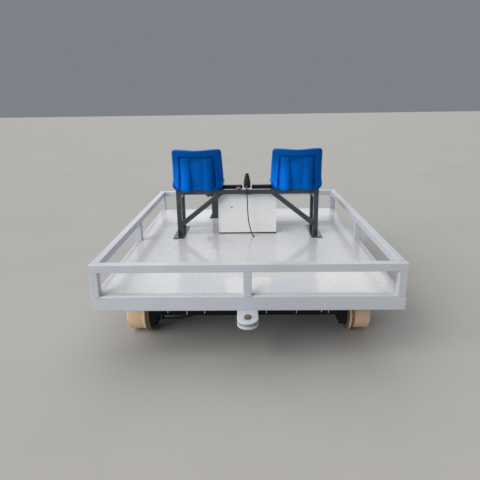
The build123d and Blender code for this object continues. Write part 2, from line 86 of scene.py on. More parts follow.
# A material being built: one shader, and the nodes that feed it
class Finish:
    def __init__(self, name):
        self.material = bpy.data.materials.new(name)
        self.material.use_nodes = True
        self.tree = self.material.node_tree
        self.shader = self.tree.nodes["Principled BSDF"]
        self.place = self.value("ShaderNodeTexCoord", {}, {}, "Object")

    def plug(self, node, sockets):
        for name, what in sockets.items():
            if isinstance(what, Value):
                self.tree.links.new(what.socket, node.inputs[name])
            else:
                node.inputs[name].default_value = what

    def value(self, kind, settings, sockets, output=0):
        made = self.tree.nodes.new(kind)
        for name, setting in settings.items():
            setattr(made, name, setting)
        self.plug(made, sockets)
        return Value(self, made.outputs[output])

    def maths(self, operation, first, second=0.0):
        return self.value("ShaderNodeMath", {"operation": operation}, {0: first, 1: second})

    def noise(self, scale, detail=3.0, rough=0.55, stretch=(1, 1, 1), distortion=0.0):
        place = self.value("ShaderNodeMapping", {}, {"Vector": self.place, "Scale": stretch})
        sockets = {"Vector": place, "Scale": scale, "Detail": detail, "Roughness": rough,
                   "Distortion": distortion}
        return self.value("ShaderNodeTexNoise", {}, sockets)

    def axis(self, number):
        return self.value("ShaderNodeSeparateXYZ", {}, {0: self.place}, number)

    def far(self, number):
        # distance from the middle along one axis
        return self.maths("ABSOLUTE", self.axis(number))

    def ease(self, what, low, high):
        # 0 at low, 1 at high, smooth between
        sockets = {"Value": what, "From Min": low, "From Max": high}
        return self.value("ShaderNodeMapRange", {"interpolation_type": "SMOOTHSTEP"}, sockets)

    def near(self, what, spot, low, high):
        # 1 up to low from a spot, 0 beyond high
        return 1 - self.ease(self.maths("ABSOLUTE", what - spot), low, high)

    def patches(self, low, high, *noise):
        # noise with its range stretched to 0 and 1
        return self.ease(self.noise(*noise), low, high)

    def mix(self, share, first, second):
        first, second = (c if isinstance(c, Value) else (*c, 1.0) for c in (first, second))
        sockets = {0: share, 6: first, 7: second}
        return self.value("ShaderNodeMix", {"data_type": "RGBA"}, sockets, 2)

    def layers(self, colour, *coats):
        # coats over a colour, each with its share and its own colour
        for share, coat in coats:
            colour = self.mix(share, colour, coat)
        return colour

    def bump(self, height, depth, strength):
        sockets = {"Height": height, "Distance": depth, "Strength": strength}
        return self.value("ShaderNodeBump", {}, sockets)

    def feed(self, **sockets):
        self.plug(self.shader, {socketNames[name]: what for name, what in sockets.items()})
        return self

    def cover(self, *coats):
        # more coats over the colour that the shader already has
        plain = Value(self, self.shader.inputs["Base Color"].links[0].from_socket)
        return self.feed(colour=self.layers(plain, *coats))


# Sprayed enamel on steel: uneven tint, dust that gathers in clouds, dark specks and chips
def enamel(name, look):
    finish = Finish(name)
    cloud = finish.patches(0.35, 0.7, look["cloudScale"], 4)
    dust = finish.patches(0.52, 0.8, look["dustScale"], 8, 0.65, look["dustStretch"])
    dust = dust * look["dustShare"]
    specks = finish.patches(look["speckFrom"], look["speckFrom"] + 0.03, look["speckScale"], 2, 0.5)
    orangePeel = finish.noise(look["peelScale"], 2, 0.4)
    grain = finish.noise(look["grainScale"], 2, 0.5)
    colour = finish.layers(look["colour"], (cloud, look["shade"]), (dust, look["dust"]),
                           (specks * look["speckShare"], look["speck"]))
    rough = look["roughness"] + 0.1 * cloud + 0.35 * dust + 0.3 * specks
    height = orangePeel + 0.12 * grain - 0.6 * specks
    return finish.feed(colour=colour, rough=rough, coat=look["coat"], coatRough=0.12,
                       gloss=look["gloss"], normal=finish.bump(height, look["peelDepth"], 0.5))


plainEnamel = {
    "cloudScale": 2.2, "dustScale": 5.0, "dustStretch": (1, 1, 1), "dustShare": 0.2,
    "speckScale": 90.0, "speckFrom": 0.74, "speckShare": 0.6, "peelScale": 320.0,
    "peelDepth": 0.00035, "grainScale": 1400.0, "coat": 0.25, "roughness": 0.3, "gloss": 0.5,
}
whiteLook = {
    # the bluish tint of these colours is painted cool light
    **plainEnamel, "colour": (0.626, 0.653, 0.705), "shade": (0.572, 0.60, 0.65),
    # the next colour, its share and its reach: painted shade laid over the platform towards the right
    "dust": (0.42, 0.395, 0.36), "rightShade": (0.445, 0.465, 0.50), "rightShadeShare": 0.6, "rightShadeReach": 0.95,
    "speck": (0.16, 0.13, 0.11), "dustStretch": (1, 1, 0.45), "dustShare": 0.28, "roughness": 0.33,
}
cabinetLook = {
    **whiteLook, "colour": (0.90, 0.90, 0.90), "shade": (0.86, 0.85, 0.845),
    "dust": (0.60, 0.56, 0.53),
}
# sub-frame black enamel, made darker than the black paint itself: painted shade under the deck
shadedFrameLook = {
    **plainEnamel, "colour": (0.005, 0.006, 0.009), "shade": (0.009, 0.010, 0.013),
    "dust": (0.07, 0.06, 0.055), "speck": (0.12, 0.07, 0.05), "dustShare": 0.14,
    "roughness": 0.55, "coat": 0.0, "gloss": 0.12,
}
platedLook = {
    **plainEnamel, "colour": (0.60, 0.615, 0.63), "shade": (0.50, 0.51, 0.53),
    "dust": (0.40, 0.38, 0.35), "speck": (0.2, 0.17, 0.14), "cloudScale": 30.0,
    "roughness": 0.38, "coat": 0.0,
}
slateLook = {
    **plainEnamel, "colour": (0.030, 0.046, 0.062), "shade": (0.050, 0.056, 0.068),
    "dust": (0.22, 0.20, 0.19), "speck": (0.3, 0.29, 0.27), "speckFrom": 0.78, "dustShare": 0.22,
    "roughness": 0.27, "coat": 0.35,
}
blackLook = {
    **plainEnamel, "colour": (0.007, 0.009, 0.012), "shade": (0.012, 0.014, 0.017),
    "dust": (0.12, 0.10, 0.08), "speck": (0.09, 0.07, 0.05), "dustScale": 14.0, "dustShare": 0.2,
    "roughness": 0.4, "coat": 0.0, "gloss": 0.3,
}


# The platform's enamel, with painted shade towards the right
def whiteFinish(look):
    finish = enamel("whiteEnamel", look)
    shadedSide = finish.ease(finish.axis(0), -look["rightShadeReach"], look["rightShadeReach"])
    return finish.cover((look["rightShadeShare"] * shadedSide, look["rightShade"]))


# The deck sheet: enamel with dust and shoe prints, painted shade over its middle and more on its right, darker
# along its edge, scratches, small chips
deckLook = {
    "colour": (0.80, 0.80, 0.80), "shade": (0.73, 0.73, 0.725), "dust": (0.53, 0.495, 0.46),
    "deckShade": (0.56, 0.565, 0.57), "darkMark": (0.17, 0.15, 0.13), "speck": (0.11, 0.10, 0.09),
    "roughness": 0.2, "edgeDarkFrom": 0.040, "edgeDarkTo": 0.012,     # metres from the edge
}


def deckFinish(look):
    finish = Finish("deckEnamel")
    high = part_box("deck_plate")[1]
    cloud = finish.patches(0.35, 0.7, 1.6, 3)
    dust = finish.patches(0.48, 0.78, 3.2, 9, 0.68, (1, 1, 1), 0.4)
    prints = finish.patches(0.56, 0.72, 9.0, 5, 0.6, (1, 0.6, 1), 1.2)
    scratches = finish.patches(0.68, 0.74, 16.0, 3, 0.5, (14, 0.6, 1), 0.6)
    specks = finish.patches(0.745, 0.77, 113.0, 2, 0.5)
    edges = [finish.ease(finish.far(n), high[n] - look["edgeDarkFrom"], high[n] - look["edgeDarkTo"])
             for n in (0, 1)]
    edge = finish.maths("MAXIMUM", *edges) * (0.65 + 0.35 * finish.patches(0.38, 0.7, 11.0, 5, 0.6))
    # painted shade: darker over the deck's middle and more on its right, its near and far ends left lighter
    deckShade = 1 - finish.ease(finish.far(1), 0.45, 0.85)
    deckShade = deckShade * (0.6 + 0.4 * finish.ease(finish.axis(0), 0.2, 0.6))    # more on the right
    colour = finish.layers(
        look["colour"], (cloud, look["shade"]), (deckShade, look["deckShade"]),
        (dust * 0.42, look["dust"]), (prints * 0.2, look["dust"]),
        (scratches * 0.22, look["darkMark"]), (edge * 0.35, look["darkMark"]),
        (specks * 0.75, look["speck"]))
    rough = look["roughness"] + 0.08 * cloud + 0.3 * dust + 0.18 * prints + 0.3 * edge
    height = 12 * finish.noise(2.6, 2, 0.4) + 0.25 * finish.noise(420.0, 2, 0.4) + 0.3 * dust
    return finish.feed(colour=colour, rough=rough, normal=finish.bump(height, 0.0006, 0.6),
                       coat=0.55, coatRough=0.03, gloss=0.2)


# Moulded plastic: even colour with faint flow marks, fine grain, rub marks
def plastic(name, look):
    finish = Finish(name)
    flow = finish.patches(0.3, 0.75, 3.5, 3, 0.5, (1, 1, 0.3))
    rubs = finish.patches(0.6, 0.78, 26.0, 6, 0.65, (1, 1, 2.2))
    grain = finish.noise(look["grainScale"], 2, 0.45)
    dust = finish.patches(0.5, 0.8, 9.0, 7, 0.7) * look["dustShare"]
    colour = finish.layers(look["colour"], (flow, look["shade"]),
                           (rubs * look["rubShare"], look["rub"]), (dust, look["dust"]))
    rough = look["roughness"] + 0.1 * rubs + 0.25 * dust + 0.05 * flow
    return finish.feed(colour=colour, rough=rough, gloss=look["gloss"],
                       normal=finish.bump(grain, look["grainDepth"], 0.45))


plainPlastic = {
    "grainScale": 700.0, "grainDepth": 0.0002, "rubShare": 0.15, "dustShare": 0.1,
    "dust": (0.4, 0.38, 0.34), "roughness": 0.36, "gloss": 0.5,
}
blueLook = {
    **plainPlastic, "colour": (0.0, 0.158, 0.67), "shade": (0.0, 0.142, 0.60),
    # the deep colour is that of the painted shade, the worn colour that of the painted highlight
    "rub": (0.0, 0.18, 0.70), "deep": (0.0, 0.086, 0.35), "worn": (0.20, 0.44, 0.70),
    "dustShare": 0.0, "roughness": 0.32, "gloss": 0.04,
    # painted shade in the deep colour, deeper towards the top: share, then metres above the foot and below the
    # top; painted shade to one side, deeper towards the right: share, from and to in X
    "upper": (0.9, 0.13, 0.04), "shadedSide": ((0.35, -0.085, -0.045), (0.42, -0.01, 0.06)),
    # painted highlight along the top edge, in the worn colour: share, metres from the top; depth and half width of
    # the top's hollow
    "rimHighlight": (0.6, -0.008, -0.002), "hollow": (0.008, 0.165),
}
redLook = {
    **plainPlastic, "colour": (0.10, 0.008, 0.008), "shade": (0.08, 0.006, 0.006),
    "rub": (0.58, 0.25, 0.24), "roughness": 0.5, "gloss": 0.1,
    "crown": (0.009, 0.005),     # metres below the top
}
blackPlasticLook = {
    **plainPlastic, "colour": (0.014, 0.014, 0.016), "shade": (0.02, 0.02, 0.022),
    "rub": (0.06, 0.06, 0.06), "dustShare": 0.12, "roughness": 0.42, "gloss": 0.35,
}
rubberLook = {
    **plainPlastic, "colour": (0.004, 0.005, 0.007), "shade": (0.007, 0.008, 0.010),
    "rub": (0.035, 0.034, 0.034), "dustShare": 0.06, "roughness": 0.5, "gloss": 0.2,
    "grainScale": 1100.0, "foldPitch": 0.0169, "crest": (0.6, 0.95), "crestShare": 0.8,
    "crestHighlightAndDust": (0.16, 0.165, 0.175),
}


# Seat plastic: painted shade towards the top and the right of the back, a painted highlight along the top edge
def seatFinish(look):
    finish = plastic("seatPlastic", look)
    low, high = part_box("seat_right")
    centre = (low.x + high.x) / 2
    side = finish.axis(0) + centre - 2 * centre * finish.ease(finish.axis(0), -0.01, 0.01)
    topShadeShare, topShadeFrom, topShadeTo = look["upper"]
    upper = topShadeShare * finish.ease(finish.axis(2), low.z + topShadeFrom, high.z - topShadeTo)
    first, second = (share * finish.ease(side, *reach) for share, *reach in look["shadedSide"])
    shadedSide = first + second
    depth, half = look["hollow"]
    dip = depth * finish.ease(finish.maths("ABSOLUTE", side), 0.0, half)
    rimHighlightShare, *rimHighlightReach = look["rimHighlight"]
    rimHighlight = rimHighlightShare * finish.ease(finish.axis(2) - high.z + depth - dip, *rimHighlightReach)
    # painted shade in the deep colour, then the painted highlight in the worn colour
    return finish.cover((finish.maths("MAXIMUM", upper, shadedSide), look["deep"]),
                        (rimHighlight, look["worn"]))


# Boot rubber: like the other rubber, with dust and a painted highlight on the crest of each fold
def bootFinish(look):
    finish = plastic("bootRubber", look)
    above = finish.axis(2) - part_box("joystick")[0].z
    folds = finish.maths("SINE", above * (math.tau / look["foldPitch"]))
    crest = finish.ease(folds, *look["crest"]) * finish.patches(0.3, 0.6, 60.0, 4)
    share = crest * look["crestShare"]
    return finish.feed(colour=finish.mix(share, look["colour"], look["crestHighlightAndDust"]))


# Stop button: pale red skirt under a dark red crown
def buttonFinish(look):
    finish = plastic("buttonPlastic", look)
    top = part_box("stop_button")[1].z
    crown = finish.ease(finish.axis(2), *(top - below for below in look["crown"]))
    return finish.feed(colour=finish.mix(crown, look["rub"], look["colour"]))


# Cast polyurethane: honey tan, cloudy, with ground-in dust where it rolls and painted shade round the flange
tanLook = {
    "colour": (0.91, 0.635, 0.41), "shade": (0.83, 0.57, 0.36), "pale": (0.92, 0.74, 0.53),
    # the second colour on the next line is the painted shade for the flange rim of the left tyres
    "dirt": (0.20, 0.12, 0.07), "rimShade": (0.026, 0.017, 0.011), "black": (0.022, 0.020, 0.018),
    "roughness": 0.38,
    # metres from the tyre's back, and how far the root's dirt and painted shade and the rim's painted shade
    # spread: full up to, gone beyond
    "root": 0.037, "rootSpread": (0.009, 0.016), "rim": 0.019, "rimSpread": (0.008, 0.012),
    "rootShares": (0.2, 0.75),                     # on the left, and what the right has more
    "backFrom": (0.001, 0.008), "backTo": (0.009, 0.006, 0.004),     # the same, and its unevenness
}


def tyreFinish(look):
    finish = Finish("castPolyurethane")
    cloud = finish.patches(0.3, 0.7, 7.0, 4)
    pale = finish.patches(0.5, 0.75, 19.0, 5, 0.6)
    scuffs = finish.patches(0.55, 0.75, 34.0, 6, 0.7, (0.35, 1, 1))
    pits = finish.patches(0.7, 0.76, 170.0, 2, 0.5)
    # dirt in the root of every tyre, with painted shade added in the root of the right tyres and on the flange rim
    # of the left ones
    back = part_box("tyre_rear_right")[0].x
    onRight = finish.ease(finish.axis(0), -0.1, 0.1)
    worn = 0.7 + 0.3 * finish.patches(0.35, 0.6, 45.0, 5, 0.65)
    rootDirtAndShade = finish.near(finish.far(0), back + look["root"], *look["rootSpread"])
    least, more = look["rootShares"]
    rootDirtAndShade = rootDirtAndShade * (least + more * onRight) * worn
    shadedRim = finish.near(finish.far(0), back + look["rim"], *look["rimSpread"]) * (1 - onRight)
    # black over the tyre's inner face, reaching further on the right tyres
    least, more = look["backFrom"]
    innerBlackFrom = back + least + more * onRight
    least, more, uneven = look["backTo"]
    innerBlackTo = back + least + more * onRight + uneven * finish.noise(24.0, 4)
    inside = 1 - finish.ease(finish.far(0), innerBlackFrom, innerBlackTo)
    colour = finish.layers(
        look["colour"], (cloud, look["shade"]), (pale * 0.5, look["pale"]), (rootDirtAndShade, look["dirt"]),
        (shadedRim * 0.9, look["rimShade"]), (scuffs * 0.35, look["dirt"]), (pits * 0.5, look["dirt"]),
        (inside * 0.85, look["black"]))
    rough = look["roughness"] + 0.2 * scuffs + 0.08 * cloud
    height = finish.noise(60.0, 3, 0.5) + 0.3 * finish.noise(500.0, 2) - 0.7 * pits
    return finish.feed(colour=colour, rough=rough, normal=finish.bump(height, 0.0006, 0.5),
                       coat=0.15, coatRough=0.25)


# Bare and rusty metal
def metal(name, look):
    finish = Finish(name)
    cloud = finish.patches(0.35, 0.7, look["cloudScale"], 5, 0.6)
    rust = finish.patches(look["rustFrom"], look["rustFrom"] + 0.16, look["rustScale"], 7, 0.7)
    lines = finish.noise(220.0, 3, 0.5, look["brush"])
    height = 0.4 * lines + rust * finish.noise(380.0, 4, 0.7)
    return finish.feed(
        colour=finish.layers(look["colour"], (cloud, look["shade"]), (rust, look["rust"])),
        rough=look["roughness"] + 0.12 * lines + 0.35 * rust, metallic=1 - rust * 0.95,
        normal=finish.bump(height, 0.0004, 0.6))


steelLook = {
    "colour": (0.56, 0.57, 0.58), "shade": (0.45, 0.455, 0.46), "rust": (0.25, 0.13, 0.07),
    "cloudScale": 14.0, "rustScale": 30.0, "rustFrom": 0.66, "brush": (1, 8, 1), "roughness": 0.3,
}
rustLook = {
    "colour": (0.30, 0.27, 0.24), "shade": (0.20, 0.17, 0.15), "rust": (0.17, 0.085, 0.045),
    "cloudScale": 60.0, "rustScale": 55.0, "rustFrom": 0.4, "brush": (1, 1, 1), "roughness": 0.5,
}
brassLook = {
    "colour": (0.60, 0.45, 0.20), "shade": (0.48, 0.34, 0.15), "rust": (0.2, 0.14, 0.07),
    "cloudScale": 50.0, "rustScale": 80.0, "rustFrom": 0.62, "brush": (1, 1, 1), "roughness": 0.32,
}

# One finish for each slot of the record, and a few more for single parts
slotFinish = {
    "white_paint": whiteFinish(whiteLook),
    "grey_paint": enamel("shadedFrameEnamel", shadedFrameLook),
    "slate_paint": enamel("slateEnamel", slateLook),
    "blue_plastic": seatFinish(blueLook),
    "tan_polyurethane": tyreFinish(tanLook),
    "black_steel": enamel("blackEnamel", blackLook),
    "black_rubber": plastic("blackRubber", rubberLook),
    "black_plastic": plastic("blackPlastic", blackPlasticLook),
    "red_plastic": buttonFinish(redLook),
    "bare_steel": metal("bareSteel", steelLook),
    "rusty_steel": metal("rustySteel", rustLook),
}
cabinetEnamel = enamel("cabinetEnamel", cabinetLook)
boot = bootFinish(rubberLook)
brass = metal("brass", brassLook)
ownFinish = {
    "deck_plate": deckFinish(deckLook), "cabinet": cabinetEnamel, "cabinet_door": cabinetEnamel,
    "stand_bar_front": slotFinish["black_steel"], "lever_plate": enamel("platedSteel", platedLook),
}
slotOf = {row["node"]: row["material_slot"] for row in frame["record"]["subparts"]}
for nodeName, node in nodes.items():
    finish = ownFinish.get(nodeName, slotFinish[slotOf[nodeName]])
    node.data.materials.clear()
    node.data.materials.append(finish.material)
print("finishes made:", len(bpy.data.materials))


# Mesh helpers, in millimetres. Each one adds its part to a target mesh.
making = {
    "mergePiece": 0.002, "mergePart": 0.005, "mergeSeat": 0.01,     # doubles this close are merged
    "crease": 38, "seatCrease": 60,     # degrees from which an edge is sharp
    "straight": 89,                     # half a corner's degrees from which it stays as it is
    "boltCrown": 0.9, "boltChamfer": 0.07, "washerRadius": 0.62, "washerEdge": 0.4,     # shares
}


def box(node):
    low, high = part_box(node)
    return low / mm, high / mm


def middle(node):
    low, high = box(node)
    return (low + high) / 2


def underside(node):
    return Vector((*middle(node).xy, box(node)[0].z))


def along(start, way=(0, 0, 1), turn=0.0):
    # a place at start, whose Z axis looks the given way
    aim = Vector((0, 0, 1)).rotation_difference(Vector(way)).to_matrix().to_4x4()
    return Matrix.Translation(start) @ aim @ Matrix.Rotation(turn, 4, "Z")


def circle(count, radius, axis="z", shift=0.5):
    # so many spots round an axis, as offsets from it
    for number in range(count):
        turn = math.tau * (number + shift) / count
        a, b = radius * math.cos(turn), radius * math.sin(turn)
        yield Vector({"x": (0, a, b), "y": (a, 0, b), "z": (a, b, 0)}[axis])


def join(target, part, place=Matrix.Identity(4)):
    bmesh.ops.transform(part, matrix=place, verts=part.verts)
    carrier = bpy.data.meshes.new("carrier")
    part.to_mesh(carrier)
    part.free()
    target.from_mesh(carrier)
    bpy.data.meshes.remove(carrier)


def settle(mesh, name, slotName, body="chassis", stands=(), finish=None,
           crease=making["crease"]):
    # turns a bmesh into a finished piece, in metres, that rides on a body
    bmesh.ops.remove_doubles(mesh, verts=mesh.verts, dist=making["mergePiece"])
    bmesh.ops.recalc_face_normals(mesh, faces=mesh.faces)
    bmesh.ops.scale(mesh, vec=(mm, mm, mm), verts=mesh.verts)
    data = bpy.data.meshes.new(name)
    mesh.to_mesh(data)
    mesh.free()
    data.shade_smooth()
    data.set_sharp_from_angle(angle=math.radians(crease))
    data.materials.append((finish or slotFinish[slotName]).material)
    piece = bpy.data.objects.new(name, data)
    bpy.context.scene.collection.objects.link(piece)
    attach(piece, body)
    if stands:
        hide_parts(*stands)
    return piece


def softBox(target, size, place, edge=1, segments=3):
    # a box round the origin with rounded edges
    part = bmesh.new()
    bmesh.ops.create_cube(part, size=1, matrix=Matrix.Diagonal((*size, 1)))
    bmesh.ops.bevel(part, geom=part.edges[:], offset=edge, segments=segments, profile=0.5,
                    affect="EDGES", material=-1)
    join(target, part, place)


def block(target, low, high, edge=1, segments=3):
    low, high = Vector(low), Vector(high)
    softBox(target, high - low, Matrix.Translation((low + high) / 2), edge=edge, segments=segments)


def border(target, low, high, width, edge, second):
    # four blocks round a field: two at its ends in X, and two between them on a second axis
    for axis in (0, second):
        for atEnd in (False, True):
            start, end = Vector(low), Vector(high)
            if axis:
                start.x += width
                end.x -= width
            if atEnd:
                start[axis] = end[axis] - width
            else:
                end[axis] = start[axis] + width
            block(target, start, end, edge=edge)


def softCorners(rows, steps):
    # rows of two distances and a corner radius become points, each corner an arc
    spots = [Vector((a, b)) for a, b, corner in rows]
    points = [spots[0]]
    for before, spot, after, (a, b, corner) in zip(spots, spots[1:], spots[2:], rows[1:]):
        back, on = (before - spot).normalized(), (after - spot).normalized()
        half = back.angle(on) / 2
        if corner <= 0 or half > math.radians(making["straight"]):
            points.append(spot)
            continue
        centre = spot + (back + on).normalized() * corner / math.sin(half)
        start = spot + back * corner / math.tan(half) - centre
        end = spot + on * corner / math.tan(half) - centre
        for step in range(steps + 1):
            share = step / steps
            points.append(centre + (start * (1 - share) + end * share).normalized() * corner)
    return points + [spots[-1]]


def repeated(rows, count, rise, shrink=0.0):
    # rows of a profile, over and over, each time higher and narrower
    return [(radius - shrink * number, height + rise * number, corner)
            for number in range(count) for radius, height, corner in rows]


def turned(target, rows, spot=(0, 0, 0), way=(0, 0, 1), arc=3, steps=28):
    # a profile of radius, height and corner radius, spun round the way it looks; arc and steps
    # are the divisions of each corner and of the whole turn
    part = bmesh.new()
    verts = [part.verts.new((radius, 0, height)) for radius, height in softCorners(rows, arc)]
    edges = [part.edges.new(pair) for pair in zip(verts, verts[1:])]
    bmesh.ops.spin(part, geom=verts + edges, cent=(0, 0, 0), axis=(0, 0, 1), dvec=(0, 0, 0),
                   angle=math.tau, steps=steps, use_merge=True, use_duplicate=False)
    bmesh.ops.remove_doubles(part, verts=part.verts, dist=making["mergePart"])
    join(target, part, along(spot, way))


def bolt(target, size, spot, way=(0, 0, 1), turn=0.0):
    # a hexagon head with a chamfered crown: across flats, height and washer
    across, height, washer = size
    part = bmesh.new()
    corner = across / math.sqrt(3)
    bmesh.ops.create_cone(part, cap_ends=True, segments=6, radius1=corner, radius2=corner,
                          depth=height, matrix=Matrix.Translation((0, 0, height / 2 + washer)))
    crownFrom = height * making["boltCrown"] + washer
    crown = [e for e in part.edges if all(v.co.z > crownFrom for v in e.verts)]
    bmesh.ops.bevel(part, geom=crown, offset=across * making["boltChamfer"], segments=2,
                    profile=0.5, affect="EDGES", material=-1)
    if washer:
        outer, edge = across * making["washerRadius"], washer * making["washerEdge"]
        rows = [(0, 0, 0), (outer, 0, 0), (outer, washer, edge), (0, washer, 0)]
        turned(part, rows, arc=2, steps=24)
    join(target, part, along(spot, way, turn))


def bead(target, start, end, radius, pitch=3.0, ripple=0.14, sides=7):
    # a weld bead: a sheet rolled into a rippled rod with rounded ends
    start, end = Vector(start), Vector(end)
    way = end - start
    first = way.orthogonal().normalized()
    second = way.normalized().cross(first)
    ripples = max(2, round(way.length / pitch))
    part = bmesh.new()
    bmesh.ops.create_grid(part, x_segments=ripples * 3, y_segments=sides, size=0.5)
    for vert in part.verts:
        share = vert.co.x + 0.5
        turn = (vert.co.y + 0.5) * math.tau
        tip = min(1, min(share, 1 - share) * way.length / radius)
        wave = 1 - ripple + ripple * abs(math.sin(share * ripples * math.pi))
        swell = math.sqrt(max(0, 1 - (1 - tip) ** 2)) * wave
        out = first * math.cos(turn) + second * math.sin(turn)
        vert.co = start + way * share + out * radius * swell
    bmesh.ops.remove_doubles(part, verts=part.verts, dist=making["mergePart"])
    join(target, part)


def ringOfBeads(target, low, high, base, height, radius, inset, outward=0.0):
    # beads round an upright tube, set in from its corners and out from its Y faces
    z, insetY = base + height, inset - outward
    a, b = Vector((low.x + inset, low.y + insetY, z)), Vector((high.x - inset, high.y - insetY, z))
    corners = [a, Vector((b.x, a.y, z)), b, Vector((a.x, b.y, z))]
    for first, second in zip(corners, corners[1:] + corners[:1]):
        bead(target, first, second, radius)


# Camera: placed and aimed as the photograph was taken
shot = {
    "place": (0.0114, -3.4038, 1.5661),
    "pitchDown": 14.60,
    "yawRight": -1.22,
    "roll": -0.84,
    "sensor": 36,
    "focalPixels": 420.5,
    "framePixels": 480,
    "axisRow": 213,
}


def setCamera():
    pitch, yaw, roll = (math.radians(shot[key]) for key in ("pitchDown", "yawRight", "roll"))
    level = Vector((math.cos(yaw), -math.sin(yaw), 0))
    ahead = Vector((math.sin(yaw), math.cos(yaw), 0))
    forward = ahead * math.cos(pitch) - Vector((0, 0, math.sin(pitch)))
    upright = level.cross(forward)
    right = level * math.cos(roll) + upright * math.sin(roll)
    up = upright * math.cos(roll) - level * math.sin(roll)
    lens = bpy.data.cameras.new("camera")
    lens.sensor_width = shot["sensor"]
    lens.lens = shot["sensor"] * shot["focalPixels"] / shot["framePixels"]
    lens.shift_y = (shot["axisRow"] - shot["framePixels"] / 2) / shot["framePixels"]
    camera = bpy.data.objects.new("camera", lens)
    bpy.context.scene.collection.objects.link(camera)
    turn = Matrix((right, up, -forward)).transposed().to_4x4()
    camera.matrix_world = Matrix.Translation(shot["place"]) @ turn
    bpy.context.scene.camera = camera


setCamera()
print("camera set")


# Control cable: limp, out of the gland on the lever plate and down to the deck, in metres
cable = {
    "diameter": 0.008,
    "length": 0.468,
    "route": (
        (-0.004, 0.1575, 0.870), (-0.004, 0.1220, 0.870), (-0.0035, 0.0930, 0.849),
        (-0.0015, 0.0840, 0.806), (0.0020, 0.0870, 0.752), (0.0025, 0.0920, 0.696),
        (0.0050, 0.0930, 0.640), (0.0095, 0.0920, 0.590), (0.0175, 0.0950, 0.546),
        (0.0260, 0.0920, 0.508), (0.0342, 0.0832, 0.478), (0.0435, 0.0640, 0.467),
    ),
}

# profiles of its plug and of the sleeve at its gland, in millimetres
cableEnds = {
    "plug": ((0, 0, 0), (4.5, 0, 0.5), (4.8, 5.28, 0.4),
             *repeated(((6, 5.76, 0.4), (6, 7.2, 0.4), (5.04, 7.8, 0)), 4, 2.64),
             (5.4, 16.8, 0), (5.4, 24, 0.7), (0, 24, 0)),
    "sleeve": ((4, 0, 0), (6.4, 0, 0),
               *repeated(((6.4, 1.76, 0.3), (6.4, 3.52, 0.3), (5.6, 4.18, 0)), 5, 3.74, 0.36),
               (4.6, 22, 0.3), (4, 22, 0), (4, 0, 0)),
}


def buildCableEnd():
    # a moulded plug with a ribbed collar, along the cable's last run
    before, start = (Vector(spot) / mm for spot in cable["route"][-2:])
    mesh = bmesh.new()
    turned(mesh, cableEnds["plug"], start, start - before)
    return settle(mesh, "cable_plug_detail", "black_rubber", stands=["cable_plug"])


def buildCable(plug):
    line = bpy.data.curves.new("control_cable_line", "CURVE")
    line.dimensions = "3D"
    line.resolution_u = 12
    line.bevel_depth = cable["diameter"] / 2
    line.bevel_resolution = 5
    line.use_fill_caps = True
    spline = line.splines.new("NURBS")
    spline.points.add(len(cable["route"]) - 1)
    for point, spot in zip(spline.points, cable["route"]):
        point.co = (*spot, 1)
    spline.order_u = 3
    spline.use_endpoint_u = True
    piece = bpy.data.objects.new("control_cable_line", line)
    bpy.context.scene.collection.objects.link(piece)
    line.materials.append(slotFinish["black_rubber"].material)
    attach(piece, "chassis")
    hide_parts("control_cable")


def buildRelief():
    start, after = (Vector(spot) / mm for spot in cable["route"][:2])
    mesh = bmesh.new()
    turned(mesh, cableEnds["sleeve"], start, after - start, steps=24)
    settle(mesh, "cable_relief", "black_rubber")


buildCable(buildCableEnd())
buildRelief()
print("cable made")


# Seats: two moulded surfaces, in front and behind, that meet in a rounded rim. Millimetres from
# the seat's middle, from the rear bar's near face and above the bars.
seat = {
    "frontLine": ((376, 14, 0), (372, 27, 9), (330, 26, 60), (200, 20, 200), (31, 22, 62),
                  (-33, 352, 12), (-52, 352, 0)),
    "rearLine": ((376, 14, 0), (371, -0.4, 9), (-30, -0.4, 19), (-34, 195, 420), (-71, 352, 13),
                 (-52, 352, 0)),
    "bend": (31, 22),         # where the front line turns up
    "heel": (-30, -0.4),      # where the rear line turns up
    "halfWidths": ((-7, 210), (45, 217.5), (95, 217.5), (200, 213), (352, 206)),   # by height
    "panHalf": 216.0,
    "panHalves": ((30, 216), (376, 210)),                                          # by depth
    "lineArcs": (16, 12),     # divisions of the front and rear line's corners
    "backCorner": 28.0,
    "noseCorner": 46.0,
    "rimRadius": 13.0,        # how far in from the outline the rim is rounded
    "rimRows": 7,
    "rowPitch": 3.8,
    "columns": 108,
    "panWing": ((95, 66), (200, 42), (330, 20), (376, 0)),    # rise by depth
    "backWing": ((22, 66), (60, 66), (100, 64), (140, 57), (180, 45), (270, 17), (352, 0)),
    "wingFrom": 0.60,         # share of the half width where the wing starts to rise
    "wingTo": 0.95,
    "rearWing": (0.1, 0.4),   # share of the wing that the pan's and the back's rear side has
    "dish": 5.0,              # hollow of the back and the pan
    "dishFrom": 60.0,
    "wrap": 33.0,             # how far the back's sides curve forward
    "wrapHeights": (20, 110),
    "lowCorner": (178.0, 40.0, 56.0),     # lower rear corners: start, width, height
    "cornerFade": 150.0,                  # height and depths over which their lift fades
    "cornerDepths": (60, 300),
    "recessTop": 287.0,
    "recessDepths": (12.0, 30.0),         # at its top and at the heel
    "recessSide": (146, 155),             # its side and top walls: from, to
    "recessRoof": (283, 292),
    "recessFrom": (-25, -4),              # under the pan it fades out over these depths
    "wallWidth": 16.0,        # how much wider the recess's side walls get towards the heel
    "groove": (145.0, 282.0, 9.0, 4.0),   # its place at the side and the top, width, depth
    "ribs": ((100.0, 96.0), (38.0, 49.0), (11.0, 46.0)),      # middle, half width and height
    "ribFade": (263, 285),
    "panel": ((47, 52), (225, 231), (267, 271)),    # blank panel: side, lower, upper wall
    "panelDepth": 8.0,
    "dip": 8.0,               # hollow of the top edge, its half width and its heights
    "dipHalf": 165.0,
    "dipHeights": (290, 345),
}


